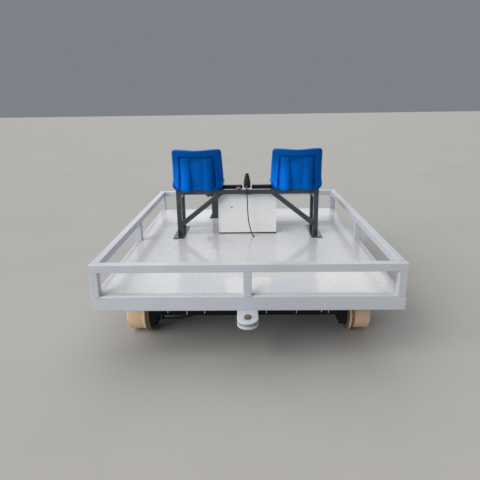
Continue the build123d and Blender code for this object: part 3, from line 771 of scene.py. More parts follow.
def easeBetween(value, low, high):
    share = min(1, max(0, (value - low) / (high - low)))
    return share * share * (3 - 2 * share)


def lookUp(table, key):
    # a value between the rows of a table
    for (a, first), (b, second) in zip(table, table[1:]):
        if key <= b:
            return first + (second - first) * min(1, max(0, (key - a) / (b - a)))
    return table[-1][1]


def walk(points, distance):
    # the point at a distance along a line
    for first, second in zip(points, points[1:]):
        step = (second - first).length
        if distance <= step and step:
            return first.lerp(second, max(0, distance) / step)
        distance -= step
    return points[-1].copy()


def normalAt(points, distance):
    # square to a line, on its left
    way = walk(points, distance + 1) - walk(points, distance - 1)
    return Vector((-way.y, way.x)).normalized()


def lineLength(points):
    return sum((b - a).length for a, b in zip(points, points[1:]))


def halves(rows, corner, steps):
    # a line of rounded rows, cut in two where it passes a corner
    points = softCorners(rows, steps)
    cut = min(range(len(points)), key=lambda number: (points[number] - Vector(corner)).length)
    return points[:cut + 1], points[cut:]


def rimSteps(total, pitch):
    # distances from an outline: close together beside it, even beyond the rim
    radius, rows = seat["rimRadius"], seat["rimRows"]
    close = [radius * (1 - math.cos(math.pi / 2 * row / rows)) for row in range(rows + 1)]
    count = max(2, round((total - radius) / pitch))
    return close + [radius + (total - radius) * step / count for step in range(1, count + 1)]


def cornerInset(corner, distance):
    return corner - math.sqrt(corner ** 2 - max(0, corner - distance) ** 2)


def rearShape(x, z):
    # relief of the rear side, positive outwards: recess, groove round it, panel and two ribs
    x, low = abs(x), 1 - easeBetween(z, 0, seat["recessTop"])
    above = easeBetween(z, *seat["recessRoof"])
    sideFrom, sideTo = seat["recessSide"]
    beside = easeBetween(x, sideFrom, sideTo + seat["wallWidth"] * low)
    shallow, deep = seat["recessDepths"]
    depth = (shallow + (deep - shallow) * low) * (1 - max(beside, above))
    grooveX, grooveZ, width, grooveDepth = seat["groove"]
    sideGroove = (1 - ((x - grooveX) / width) ** 2) * (1 - above)
    topGroove = (1 - ((z - grooveZ) / width) ** 2) * (1 - beside)
    groove = grooveDepth * max(0, sideGroove, topGroove)
    side, lower, upper = seat["panel"]
    inPanel = (1 - easeBetween(x, *side)) * easeBetween(z, *lower) * (1 - easeBetween(z, *upper))
    ribMiddle, ribHalf, ribHeight = (a + (b - a) * low for a, b in seat["ribs"])
    crown = math.sqrt(max(0, 1 - ((x - ribMiddle) / ribHalf) ** 2))
    rib = ribHeight * crown * (1 - easeBetween(z, *seat["ribFade"]))
    return rib - depth - groove - seat["panelDepth"] * inPanel


def seatRows():
    # each row: its front and rear point, their ways out, distance to the line's end, wing, width
    rows = []
    frontArc, rearArc = seat["lineArcs"]
    fronts = halves(seat["frontLine"], seat["bend"], frontArc)
    rears = halves(seat["rearLine"], seat["heel"], rearArc)
    depth, height = seat["frontLine"][0][0], seat["frontLine"][-1][1]
    radius = seat["rimRadius"]
    for rising, frontHalf, rearHalf in zip((False, True), fronts, rears):
        frontTotal, rearTotal = lineLength(frontHalf), lineLength(rearHalf)
        steps = rimSteps(frontTotal, seat["rowPitch"])
        if rising:
            steps = [frontTotal - step for step in reversed(steps)][1:]
        for step in steps:
            end = frontTotal - step if rising else step
            rim = min(end, radius)
            rearEnd = rim + (end - rim) * (rearTotal - radius) / (frontTotal - radius)
            rearStep = rearTotal - rearEnd if rising else rearEnd
            front, rear = walk(frontHalf, step), walk(rearHalf, rearStep)
            if rising:
                wing = lookUp(seat["backWing"], front.y)
                half = lookUp(seat["halfWidths"], (front.y + rear.y) / 2)
                half -= cornerInset(seat["backCorner"], height - max(front.y, rear.y))
            else:
                wing = lookUp(seat["panWing"], front.x)
                half = lookUp(seat["panHalves"], front.x)
                half -= cornerInset(seat["noseCorner"], depth - front.x)
            outs = -normalAt(frontHalf, step), normalAt(rearHalf, rearStep)
            rows.append((rising, front, rear, *outs, end, wing, half))
    return rows


def seatPoint(row, x, onFront):
    # where one vertex of the front or the rear surface goes
    rising, front, rear, frontOut, rearOut, end, wing, half = row
    share = min(1, abs(x) / half)
    rise = wing * easeBetween(share, seat["wingFrom"], seat["wingTo"])
    hollow = seat["dish"] * (1 - share ** 2) * min(1, end / seat["dishFrom"])
    frontHeight, rearHeight = front.y, rear.y
    forward = seat["wrap"] * share ** 2 * easeBetween(frontHeight, *seat["wrapHeights"])
    wrap = Vector((forward * rising, 0))
    front = front + frontOut * (rise - hollow) + wrap
    start, width, tall = seat["lowCorner"]
    lift = tall * (1 - math.sqrt(1 - min(1, max(0, abs(x) - start) / width) ** 2))
    panRise, backRise = (part * rise for part in seat["rearWing"])
    if rising:
        lift *= max(0, 1 - rear.y / seat["cornerFade"])
        rear = rear + Vector((backRise, lift)) + wrap
        fade = 1.0
    else:
        lift *= 1 - easeBetween(rear.x, *seat["cornerDepths"])
        rear = rear + Vector((0, lift + panRise))
        fade = 1 - easeBetween(rear.x, *seat["recessFrom"])
    rear = rear + rearOut * rearShape(x, rearHeight) * fade
    gap = min(1, max(0, min(half - abs(x), end)) / seat["rimRadius"])
    closing = math.sqrt(max(0, 1 - (1 - gap) ** 2))
    core = (front + rear) / 2
    spot = core + ((front if onFront else rear) - core) * closing
    if rising:
        bow = math.cos(min(1, abs(x) / seat["dipHalf"]) * math.pi / 2) ** 2
        spot.y -= seat["dip"] * bow * easeBetween(frontHeight, *seat["dipHeights"])
    return spot


def buildSeat(node):
    barLow, barHigh = box("stand_bar_rear")
    origin = Vector((middle(node).x, barLow.y, barHigh.z))
    rows = seatRows()
    radius, panHalf = seat["rimRadius"], seat["panHalf"]
    reaches = rimSteps(panHalf, 2 * panHalf / seat["columns"])
    rowCount, columnCount = len(rows) - 1, len(reaches) * 2 - 2
    mesh = bmesh.new()
    for onFront in (True, False):
        part = bmesh.new()
        bmesh.ops.create_grid(part, x_segments=columnCount, y_segments=rowCount, size=0.5)
        for vert in part.verts:
            row = rows[round((vert.co.y + 0.5) * rowCount)]
            half = row[-1]
            column = round((vert.co.x + 0.5) * columnCount)
            reach = reaches[min(column, columnCount - column)]
            if reach > radius:
                reach = radius + (reach - radius) * (half - radius) / (panHalf - radius)
            x = (half - reach) * (-1 if column < columnCount / 2 else 1)
            spot = seatPoint(row, x, onFront)
            vert.co = origin + Vector((x, spot.x, spot.y))
        join(mesh, part)
    bmesh.ops.remove_doubles(mesh, verts=mesh.verts, dist=making["mergeSeat"])
    settle(mesh, node + "_moulding", "blue_plastic", stands=[node], crease=making["seatCrease"])


for node in ("seat_left", "seat_right"):
    buildSeat(node)
print("seats made")


# Joystick: a ribbed rubber boot that narrows to a rounded tip
stick = {
    "shape": ((0, 1.1), (0.1, 1.1), (0.22, 1.08), (0.36, 1.01), (0.51, 0.93), (0.65, 0.82),
              (0.78, 0.67), (0.89, 0.47), (1, 0.22)),     # height and radius, as shares
    "ribs": 6,
    "ribDepth": 3.2,
    "foldShare": 0.6,
    "footHeight": 4,
    "footGap": 1,
    "tipFrom": 0.86,
    "crest": 0.9,             # corner radius of a fold
    "neckFold": 0.6,          # last fold, as a share of a rib's depth
    "collar": 3,
    "topShare": 0.85,         # the tip's radius, as a share of the neck's
    "topCorner": 8,
}


def buildJoystick():
    low, high = box("joystick")
    height, foot = high.z - low.z, (high.x - low.x) / 2
    shape = [(share * height, width * foot) for share, width in stick["shape"]]
    start, tip = stick["footHeight"] + stick["footGap"], height * stick["tipFrom"]
    depth = stick["ribDepth"]
    pitch = (tip - start) / stick["ribs"]
    rows = [(0, 0, 0), (foot, 0, 1), (foot, stick["footHeight"], 1.2)]
    for number in range(stick["ribs"]):
        floor = start + pitch * number
        crest = floor + pitch * stick["foldShare"]
        rows += [(lookUp(shape, floor) - depth, floor, 1),
                 (lookUp(shape, crest), crest, stick["crest"])]
    neck = lookUp(shape, tip)
    rows += [(neck - depth * stick["neckFold"], tip, 1), (neck, tip + stick["collar"], 1.2),
             (neck * stick["topShare"], height, stick["topCorner"]), (0, height, 0)]
    mesh = bmesh.new()
    turned(mesh, rows, underside("joystick"), arc=5, steps=56)
    settle(mesh, "joystick_boot", "black_rubber", stands=["joystick"], finish=boot)


# Stop button: a mushroom head over a knurled lock ring
button = {
    "head": ((0, 5, 0), (15.4, 5, 1), (19, 8, 2), (19.4, 18.8, 4), (13.968, 24.8, 8),
             (5.82, 25.8, 0), (0, 25.8, 0)),
    "ring": ((0, 0, 0), (15, 0, 0.6), (15, 4.4, 0.6), (0, 5.6, 0)),
    "ringRadius": 15,
    "notches": 20,
    "notchSize": (1.6, 1.6, 3.2),
    "notchHeight": 2.2,
}


def buildButton():
    base = underside("stop_button")
    head, ring = bmesh.new(), bmesh.new()
    turned(head, button["head"], base, arc=5, steps=48)
    settle(head, "stop_button_head", "red_plastic", stands=["stop_button"])
    turned(ring, button["ring"], base, steps=40)
    for out in circle(button["notches"], button["ringRadius"], shift=0):
        place = Matrix.Translation(base + out + Vector((0, 0, button["notchHeight"])))
        softBox(ring, button["notchSize"], place, edge=0.4, segments=1)
    settle(ring, "stop_button_ring", "black_plastic")


# Gland nut: black plastic, round the cable's way out of the lever plate
gland = {
    "body": ((0, 0.4, 0), (6, 0.4, 0), (7.6, 2, 1), (7.6, 4, 0), (8.2, 4, 0.4), (8.2, 14.6, 0.8),
             (0, 14.6, 0)),
    "nut": (17, 7, 0),
    "nutFrom": 4.4,
}


def buildGland():
    start, after = (Vector(spot) / mm for spot in cable["route"][:2])
    inward = (start - after).normalized()
    mesh = bmesh.new()
    turned(mesh, gland["body"], start, inward, steps=32)
    bolt(mesh, gland["nut"], start + inward * gland["nutFrom"], inward)
    settle(mesh, "cable_gland_nut", "black_plastic")


buildJoystick()
buildButton()
buildGland()
print("controls made")


# Wheels: bolt circles and caps on the hubs. A bolt's size is across flats, height and washer.
wheel = {
    "outerBolts": 6, "outerCircle": 78, "outerSize": (19, 10, 2.4),
    "innerNuts": 8, "innerCircle": 99, "innerSize": (19, 13, 3), "innerSeat": 20,
    "stud": ((0, 0, 0), (5, 0, 0), (5, 22, 1.4), (0, 22, 0)),
    "capLength": 12,
    "capRing": ((26, -0.6, 0), (30, -0.6, 0), (30, 1.0, 0.4), (26, 1.0, 0.4), (26, -0.6, 0)),
}


def buildHubParts(end):
    low, high = box("axle_" + end)
    centre = middle("axle_" + end)
    wheelBack = box(f"tyre_{end}_right")[0].x
    bolts, caps = bmesh.new(), bmesh.new()
    for side, tip in ((-1, low.x), (1, high.x)):
        outer = Vector((tip - side * wheel["capLength"], *centre.yz))
        for out in circle(wheel["outerBolts"], wheel["outerCircle"], "x", shift=0.25):
            bolt(bolts, wheel["outerSize"], outer + out, (side, 0, 0))
        inner = Vector((side * (wheelBack - wheel["innerSeat"]), *centre.yz))
        for out in circle(wheel["innerNuts"], wheel["innerCircle"], "x"):
            bolt(bolts, wheel["innerSize"], inner + out, (-side, 0, 0))
            turned(bolts, wheel["stud"], inner + out, (-side, 0, 0), arc=2, steps=16)
        turned(caps, wheel["capRing"], (tip, *centre.yz), (side, 0, 0), steps=48)
    settle(bolts, end + "_hub_bolts", "black_steel", body=end + "_wheelset")
    settle(caps, end + "_cap_rings", "bare_steel", body=end + "_wheelset")


for end in ("rear", "front"):
    buildHubParts(end)
print("hub parts made")


# Tow clevises: two bevelled plates with a round end, a spacer at the root, weld and bolt
clevis = {"bevel": 2.2, "bevelFrom": 1.0,     # its size, and from which angle an edge gets one
          "plate": 12, "slot": 18, "bore": 13, "boreSteps": 32, "tipSteps": 40,
          "spacer": 45, "spacerInset": 1, "weld": 3.2,
          "topWeld": (4, 0.5, 0.6),          # in from the sides, back into the beam, up
          "sideWeld": (0.4, 4, 3, 1)}        # out, from the beam's face, past the root, down


def clevisPlate(width, rootY, boltY):
    # one plate in the plane of X and Y, its top at z = 0, with a hole for the bolt
    part = bmesh.new()
    half, steps, centre = width / 2, clevis["tipSteps"], Vector((0, boltY, 0))
    tip = list(circle(2 * steps, half, shift=0))[:steps + 1]
    outline = [Vector((-half, rootY, 0)), Vector((half, rootY, 0))] + [centre + out for out in tip]
    hole = [centre + out for out in circle(clevis["boreSteps"], clevis["bore"], shift=0)]
    edges = []
    for spots in (outline, hole):
        line = [part.verts.new(spot) for spot in spots]
        edges += [part.edges.new(pair) for pair in zip(line, line[1:] + line[:1])]
    filled = bmesh.ops.triangle_fill(part, edges=edges, use_beauty=True, use_dissolve=False)
    faces = [f for f in filled["geom"] if isinstance(f, bmesh.types.BMFace)]
    grown = bmesh.ops.extrude_face_region(part, geom=faces)
    lower = [v for v in grown["geom"] if isinstance(v, bmesh.types.BMVert)]
    bmesh.ops.translate(part, verts=lower, vec=(0, 0, -clevis["plate"]))
    bmesh.ops.recalc_face_normals(part, faces=part.faces)
    sharp = [e for e in part.edges
             if len(e.link_faces) == 2 and e.calc_face_angle(0) > clevis["bevelFrom"]]
    bmesh.ops.bevel(part, geom=sharp, offset=clevis["bevel"], segments=3, profile=0.5,
                    affect="EDGES", material=-1, clamp_overlap=True)
    return part


def buildClevis(end, side):
    node = "clevis_" + end
    low, high = box(node)
    width, plate, inset = high.x - low.x, clevis["plate"], clevis["spacerInset"]
    tipY, rootY = (low.y, high.y) if side < 0 else (high.y, low.y)
    boltY = abs(tipY - side * width / 2)
    turn = Matrix.Rotation(math.pi if side < 0 else 0, 4, "Z")
    mesh, welds = bmesh.new(), bmesh.new()
    for top in (high.z, high.z - plate - clevis["slot"]):
        join(mesh, clevisPlate(width, abs(rootY), boltY), Matrix.Translation((0, 0, top)) @ turn)
    nearY, farY = sorted((rootY, side * (abs(rootY) + clevis["spacer"])))
    block(mesh, (low.x + inset, nearY, low.z + plate - inset),
          (high.x - inset, farY, high.z - plate + inset), segments=2)
    settle(mesh, node + "_plates", "white_paint", stands=[node])
    beamY = side * abs(box("beam_" + end)[0 if side < 0 else 1].y)
    inset, back, up = clevis["topWeld"]
    y, z = beamY - side * back, high.z + up
    bead(welds, (low.x + inset, y, z), (high.x - inset, y, z), clevis["weld"])
    out, back, past, down = clevis["sideWeld"]
    start, end, z = beamY - side * back, rootY + side * past, high.z - down
    for x in (low.x - out, high.x + out):
        bead(welds, (x, start, z), (x, end, z), clevis["weld"])
    settle(welds, node + "_welds", "white_paint")


towBolt = {
    "across": 35, "washer": 3, "sink": 0.2, "headTurn": 0.3, "nut": 18, "nutTurn": math.pi / 6,
    "radius": 11.8, "nutSide": 20,
    "tip": ((0, 0, 0), (11.8, 0, 1.6), *repeated(((11.8, 2.5, 0), (10.9, 3.6, 0)), 5, 2.2)),
}


def buildTowBolt():
    low, high = box("tow_bolt")
    x, y, z = underside("tow_bolt")
    plateLow, plateTop = (corner.z for corner in box("clevis_rear"))
    across, washer, sink, radius = (towBolt[key] for key in ("across", "washer", "sink", "radius"))
    mesh = bmesh.new()
    head = high.z - plateTop - washer - 2 * sink
    bolt(mesh, (across, head, washer), (x, y, plateTop + sink), turn=towBolt["headTurn"])
    bolt(mesh, (across, towBolt["nut"], washer), (x, y, plateLow - sink), (0, 0, -1),
         towBolt["nutTurn"])
    rows = (*towBolt["tip"], (radius, plateLow - z - towBolt["nutSide"], 0),
            (radius, plateTop - z, 0), (0, plateTop - z, 0))
    turned(mesh, rows, (x, y, z), steps=32)
    settle(mesh, "tow_bolt_detail", "rusty_steel", stands=["tow_bolt"])


buildClevis("rear", -1)
buildClevis("front", 1)
buildTowBolt()
print("tow parts made")


# Welds round the posts, along the stand and at its feet
weld = {
    # height from the tube's end, radius, inset from its corners, outward from its Y faces
    "postFoot": (1.6, 3.2, 3.3, 3.3),
    "postTop": (-1.2, 2.2, 2.3, 0.8),
    "standFoot": (8.5, 3.0, -0.6),     # on the foot plate
    "standTop": (-0.5, 2.0, 0.8),
}


def buildPostWelds():
    mesh = bmesh.new()
    for nodeName in sorted(nodes):
        if nodeName.startswith("post_"):
            low, high = box(nodeName)
            ringOfBeads(mesh, low, high, low.z, *weld["postFoot"])
            ringOfBeads(mesh, low, high, high.z, *weld["postTop"])
    settle(mesh, "post_welds", "white_paint")


def buildStandWelds():
    mesh = bmesh.new()
    bars = [box("stand_bar_rear"), box("stand_bar_front")]
    half = (bars[0][1].y - bars[0][0].y) / 2
    for side in ("left", "right"):
        foot, x = box("stand_side_" + side)[0].z, middle("stand_side_" + side).x
        for low, high in bars:
            corners = Vector((x - half, low.y, 0)), Vector((x + half, high.y, 0))
            ringOfBeads(mesh, *corners, foot, *weld["standFoot"])
            ringOfBeads(mesh, *corners, low.z, *weld["standTop"])
    settle(mesh, "stand_welds", "slate_paint")


buildPostWelds()
buildStandWelds()
print("welds made")


# Bolts that hold the stand, the brake column and the seats: across flats, height, washer
fixing = {
    "plate": 8, "standBolt": (19, 8, 2.4), "standPlaces": (50, -16), "turns": (0.4, 1.1),
    "columnBolt": (12, 5, 1.6), "columnPlaces": (119, 11), "columnInset": 11,
    "seatBolt": (13, 6, 1.8), "seatPlaces": (-120, 120),
}


def buildFixings():
    mesh = bmesh.new()
    for side, turn in zip(("left", "right"), fixing["turns"]):
        low, high = box("stand_side_" + side)
        x, z = middle("stand_side_" + side).x, low.z + fixing["plate"]
        first, second = fixing["standPlaces"]
        for y in (low.y + first, high.y + second):
            bolt(mesh, fixing["standBolt"], (x, y, z), turn=turn)
    low, high = box("brake_column")
    for across in fixing["columnPlaces"]:
        for y in (low.y + fixing["columnInset"], high.y - fixing["columnInset"]):
            bolt(mesh, fixing["columnBolt"], (high.x - across, y, low.z + fixing["plate"]))
    for node in ("seat_left", "seat_right"):
        for bar in ("stand_bar_rear", "stand_bar_front"):
            y, z = middle(bar).y, box(bar)[0].z
            for offset in fixing["seatPlaces"]:
                bolt(mesh, fixing["seatBolt"], (middle(node).x + offset, y, z), (0, 0, -1))
    settle(mesh, "frame_bolts", "black_steel")


buildFixings()


# Cabinet: folded hems round its rear, louvres on its sides, and a black strip along its foot, painted shade for
# the gap under it
cabinet = {
    "half": 254, "depth": 335, "foot": 10,
    "hem": 12, "hemDepth": 1.2,
    "louvres": 5, "louvreSize": (5, 120, 11), "louvrePitch": 17, "louvreTop": 70, "louvreTilt": 24,
    "seal": 4, "shadeStripLap": 0.7, "shadeStripHeights": (0.2, 0.4),     # above the deck and the shell's foot
}


def buildCabinetParts():
    low, high = box("cabinet")
    half, floor = cabinet["half"], low.z + cabinet["foot"]
    rear, front = low.y, low.y + cabinet["depth"]
    depth, lap = cabinet["hemDepth"], cabinet["shadeStripLap"]
    mesh, seal = bmesh.new(), bmesh.new()
    border(mesh, (-half, rear - depth, floor), (half, rear + depth, high.z), cabinet["hem"],
           edge=0.9, second=2)
    for side in (-1, 1):
        tilt = Matrix.Rotation(side * math.radians(cabinet["louvreTilt"]), 4, "Y")
        for number in range(cabinet["louvres"]):
            z = high.z - cabinet["louvreTop"] - number * cabinet["louvrePitch"]
            place = Matrix.Translation((side * half, (rear + front) / 2, z)) @ tilt
            softBox(mesh, cabinet["louvreSize"], place, edge=1.6)
    settle(mesh, "cabinet_hems", "white_paint", finish=cabinetEnamel)
    # a black strip closing the gap under the cabinet: painted shade
    fromDeck, overFoot = cabinet["shadeStripHeights"]
    border(seal, (-half - lap, rear - lap, low.z + fromDeck),
           (half + lap, front + lap, floor + overFoot), cabinet["seal"], edge=0.6, second=1)
    settle(seal, "cabinet_shade_strip", "black_rubber")


# Door: a folded rim, a latch plate with a paddle and a key lock, pins in its hinges
door = {
    "half": 251, "front": 523, "rim": 14, "rimDepths": (2, 1.4),
    "latchPlate": 4, "paddle": (17, 15, 52), "paddleEdge": 4, "paddleOffset": (0, 7, 2),
    "paddleTilt": -5,
    "lock": ((0, 0, 0), (7, 0, 0), (7, 3, 0.8), (5, 3.4, 0.3), (5, 2.6, 0.2), (0, 2.6, 0)),
    "lockHeight": 9,
    "pin": ((0, 0, 0), (4.6, 0, 0), (4.4, 1.4, 0.6), (2.4, 2.6, 1.2), (0, 2.7, 0)),
    "knuckles": ((60, -1), (110.5, 1)),     # from the foot: place and way of the pin's head
    "topKnuckles": ((-110, -1), (-59.5, 1)),
}


def buildDoorParts():
    low, high = box("cabinet_door")
    sunk, proud = door["rimDepths"]
    mesh = bmesh.new()
    border(mesh, (-door["half"], door["front"] - sunk, low.z),
           (door["half"], door["front"] + proud, high.z), door["rim"],
           edge=1.2, second=2)
    settle(mesh, "door_rim", "white_paint", body="door", finish=cabinetEnamel)


def buildLatch():
    low, high = box("door_latch")
    plateFront = low.y + door["latchPlate"]
    spot = Vector((middle("door_latch").x, plateFront, middle("door_latch").z))
    mesh = bmesh.new()
    block(mesh, low, (high.x, plateFront, high.z), edge=1.5)
    tilt = Matrix.Rotation(math.radians(door["paddleTilt"]), 4, "X")
    place = Matrix.Translation(spot + Vector(door["paddleOffset"])) @ tilt
    softBox(mesh, door["paddle"], place, edge=door["paddleEdge"], segments=4)
    turned(mesh, door["lock"], (spot.x, plateFront, low.z + door["lockHeight"]), (0, 1, 0))
    settle(mesh, "door_latch_detail", "black_plastic", body="door", stands=["door_latch"])


def buildHingePins():
    joint = next(row for row in frame["joints"] if row["name"] == "door_hinge")
    x, y = (place / mm for place in joint["pos_m"][:2])
    low, high = box("cabinet")
    mesh = bmesh.new()
    for base, knuckles in ((low.z + cabinet["foot"], "knuckles"), (high.z, "topKnuckles")):
        for offset, up in door[knuckles]:
            turned(mesh, door["pin"], (x, y, base + offset), (0, 0, up), steps=20)
    settle(mesh, "hinge_pins", "bare_steel")


# Blind plug in the cabinet's rear
blindPlug = {
    "rows": ((0, 0, 0), (6.5, 0, 0.3), (5.85, 1.6, 1), (3.25, 3, 1), (0, 3.2, 0)),
    "x": -136, "z": 687,
}


def buildPlug():
    mesh = bmesh.new()
    spot = (blindPlug["x"], box("cabinet")[0].y, blindPlug["z"])
    turned(mesh, blindPlug["rows"], spot, (0, -1, 0), arc=4)
    settle(mesh, "cabinet_plug", "black_plastic")


# Battery: a lid with a lip, vent caps, two posts with clamps, and a strap with its buckle
battery = {
    "lidHeight": 26, "groove": 3, "grooveInset": 2,
    "caps": 6,
    "cap": ((0, 0, 0), (13, 0, 0), (13, 5, 1.2), (6, 5, 0.4), (6, 3.6, 0.3), (0, 3.6, 0)),
    "post": ((0, 0, 0), (14.4, 0, 0), (14.4, 3, 1), (8.8, 3.4, 0.4), (8, 16, 1.4), (0, 16, 0)),
    "postInset": (46, 52), "clamp": (34, 22, 9), "clampOffset": (5, 0, 8.5),
    "clampBolt": (8, 4, 1), "boltOffset": (16, 0, 12.8), "sink": 0.5,
    "strapOffset": 90, "strapHalf": 17, "strapThick": 1.6,
    "buckleLap": 5, "buckle": (1, 5, 70, 40),     # nearest and furthest, lowest and highest
}


def buildBattery():
    low, high = box("battery")
    centre = middle("battery")
    seam, sunk = high.z - battery["lidHeight"], high.z - battery["sink"]
    mesh, posts, strap = bmesh.new(), bmesh.new(), bmesh.new()
    groove, inset = battery["groove"], battery["grooveInset"]
    block(mesh, low, (high.x, high.y, seam - groove), edge=4)
    block(mesh, (low.x + inset, low.y + inset, seam - 2 * groove),
          (high.x - inset, high.y - inset, seam + groove), segments=2)
    block(mesh, (low.x, low.y, seam), high, edge=4)
    for number in range(battery["caps"]):
        x = low.x + (high.x - low.x) * (number + 0.5) / battery["caps"]
        turned(mesh, battery["cap"], (x, centre.y, sunk))
    settle(mesh, "battery_case", "black_plastic", stands=["battery"])
    insetX, insetY = battery["postInset"]
    for x in (low.x + insetX, high.x - insetX):
        turned(posts, battery["post"], (x, high.y - insetY, sunk))
        spot = Vector((x, high.y - insetY, high.z))
        place = Matrix.Translation(spot + Vector(battery["clampOffset"]))
        softBox(posts, battery["clamp"], place, edge=2)
        bolt(posts, battery["clampBolt"], spot + Vector(battery["boltOffset"]))
    settle(posts, "battery_posts", "bare_steel")
    half, thick = battery["strapHalf"], battery["strapThick"]
    left, right = centre.x + battery["strapOffset"] - half, centre.x + battery["strapOffset"] + half
    top = high.z + thick
    for rear, front, bottom in ((low.y - thick, low.y, low.z), (high.y, high.y + thick, low.z),
                                (low.y - thick, high.y + thick, high.z)):
        block(strap, (left, rear, bottom), (right, front, top), edge=0.5, segments=2)
    near, far, lowest, highest = battery["buckle"]
    block(strap, (left - battery["buckleLap"], high.y + near, high.z - lowest),
          (right + battery["buckleLap"], high.y + far, high.z - highest), edge=1.4)
    settle(strap, "battery_strap", "black_rubber")


buildCabinetParts()
buildDoorParts()
buildLatch()
buildHingePins()
buildPlug()
buildBattery()
print("cabinet parts made")


# Brake lever: a rod out of a bellows, with a ringed grip
lever = {
    "lean": 18,
    "fromFace": 65,     # from the column's right face
    "rod": ((0, 4, 0), (8.6, 4, 0), (8.6, 89, 0), (0, 89, 0)),
    "bellows": ((0, 0, 0), (22, 0, 1), (22, 3, 1), (17, 5, 1), (19.5, 9, 1.6), (14.6, 13, 1),
                (16.9, 17, 1.6), (12.2, 21, 1), (14.3, 25, 1.6), (8.6, 30, 0), (0, 30, 0)),
    "grip": ((0, 85, 0), (14, 85, 2), (14, 91, 1),
             *repeated(((12, 92, 0.4), (12, 94.2346, 0.4), (13.6, 95.1923, 0.5),
                        (13.6, 97.4269, 0.5)), 13, 83 / 13),
             (12, 175, 0.4), (14, 178, 1), (14, 189, 5), (0, 189, 0)),
}


def buildLever():
    x = box("brake_column")[1].x - lever["fromFace"]
    spot = Vector((x, middle("brake_column").y, box("brake_lever")[0].z))
    lean = math.radians(lever["lean"])
    way = (0, math.sin(lean), math.cos(lean))
    rod, grip = bmesh.new(), bmesh.new()
    turned(rod, lever["rod"], spot, way, arc=2)
    turned(rod, lever["bellows"], spot, arc=4, steps=36)
    settle(rod, "brake_lever_rod", "black_steel", stands=["brake_lever"])
    turned(grip, lever["grip"], spot, way, steps=36)
    settle(grip, "brake_lever_grip", "black_rubber")


# Brake column: a weld round its foot and a pin in its lug
column = {"half": 45, "fromLug": 54, "weld": (9, 3.2, -0.8), "pinX": 20, "pinDrop": 90,
          "lug": 30, "pinHead": (17, 8, 2), "pinNut": (17, 10, 2)}


def buildColumnParts():
    low, high = box("brake_column")
    half, y = column["half"], middle("brake_column").y
    x = low.x + column["fromLug"] + half
    foot, pin = bmesh.new(), bmesh.new()
    ringOfBeads(foot, Vector((x - half, y - half, 0)), Vector((x + half, y + half, 0)),
                low.z, *column["weld"])
    settle(foot, "column_weld", "slate_paint")
    x, z = low.x + column["pinX"], high.z - column["pinDrop"]
    bolt(pin, column["pinHead"], (x, y, z))
    bolt(pin, column["pinNut"], (x, y, z - column["lug"]), (0, 0, -1))
    settle(pin, "column_pin", "bare_steel")


buildLever()
buildColumnParts()
print("brake column parts made")


# Drive unit: fins, end bell and terminal box on the motor, flange, ribs and bolts on the gear case
drive = {
    "motorRadius": 70, "rearToAxle": 110, "frontToAxle": 95, "caseHalf": 60, "caseDrop": 7,
    "fins": 30, "finHeight": 14, "finThickness": 2.4, "finEnds": 62, "finShift": 4,
    "finsBelow": 0.8,     # none higher than this share of the radius, against the sills
    "bell": ((0, -0.4, 0), (50, -0.4, 3), (58, 5, 2), (70, 9, 3), (75, 10, 1), (75, 26, 1.5),
             (69, 27, 0)),
    "flange": ((69, 0, 0), (77, 0, 1.5), (77, 12, 1.5), (69, 12, 0)), "flangeBack": 14,
    "bellBolts": 4, "bellCircle": 64, "bellBolt": (10, 6, 1.6), "bellFace": 9,
    "terminalBox": ((-108, -150, -34), (-62, -50, 34)),    # from the motor's axis, at the case
    "terminalLid": ((-112, -154, -38), (-107, -46, 38)),
    "cover": ((27, 0, 0), (46, 0, 0), (46, 6, 1.5), (34, 8, 1), (27, 8, 0), (27, 0, 0)),
    "coverBolts": 6, "coverCircle": 40, "coverBolt": (7, 4, 1), "coverFace": 6,
    "ribHalves": (5, 7), "sideRibs": (0.12, 0.3, 0.7, 0.88), "sideRib": (5, 3, 10),
    "drainPlug": (17, 8, 2), "drainFromAxle": 60,
}


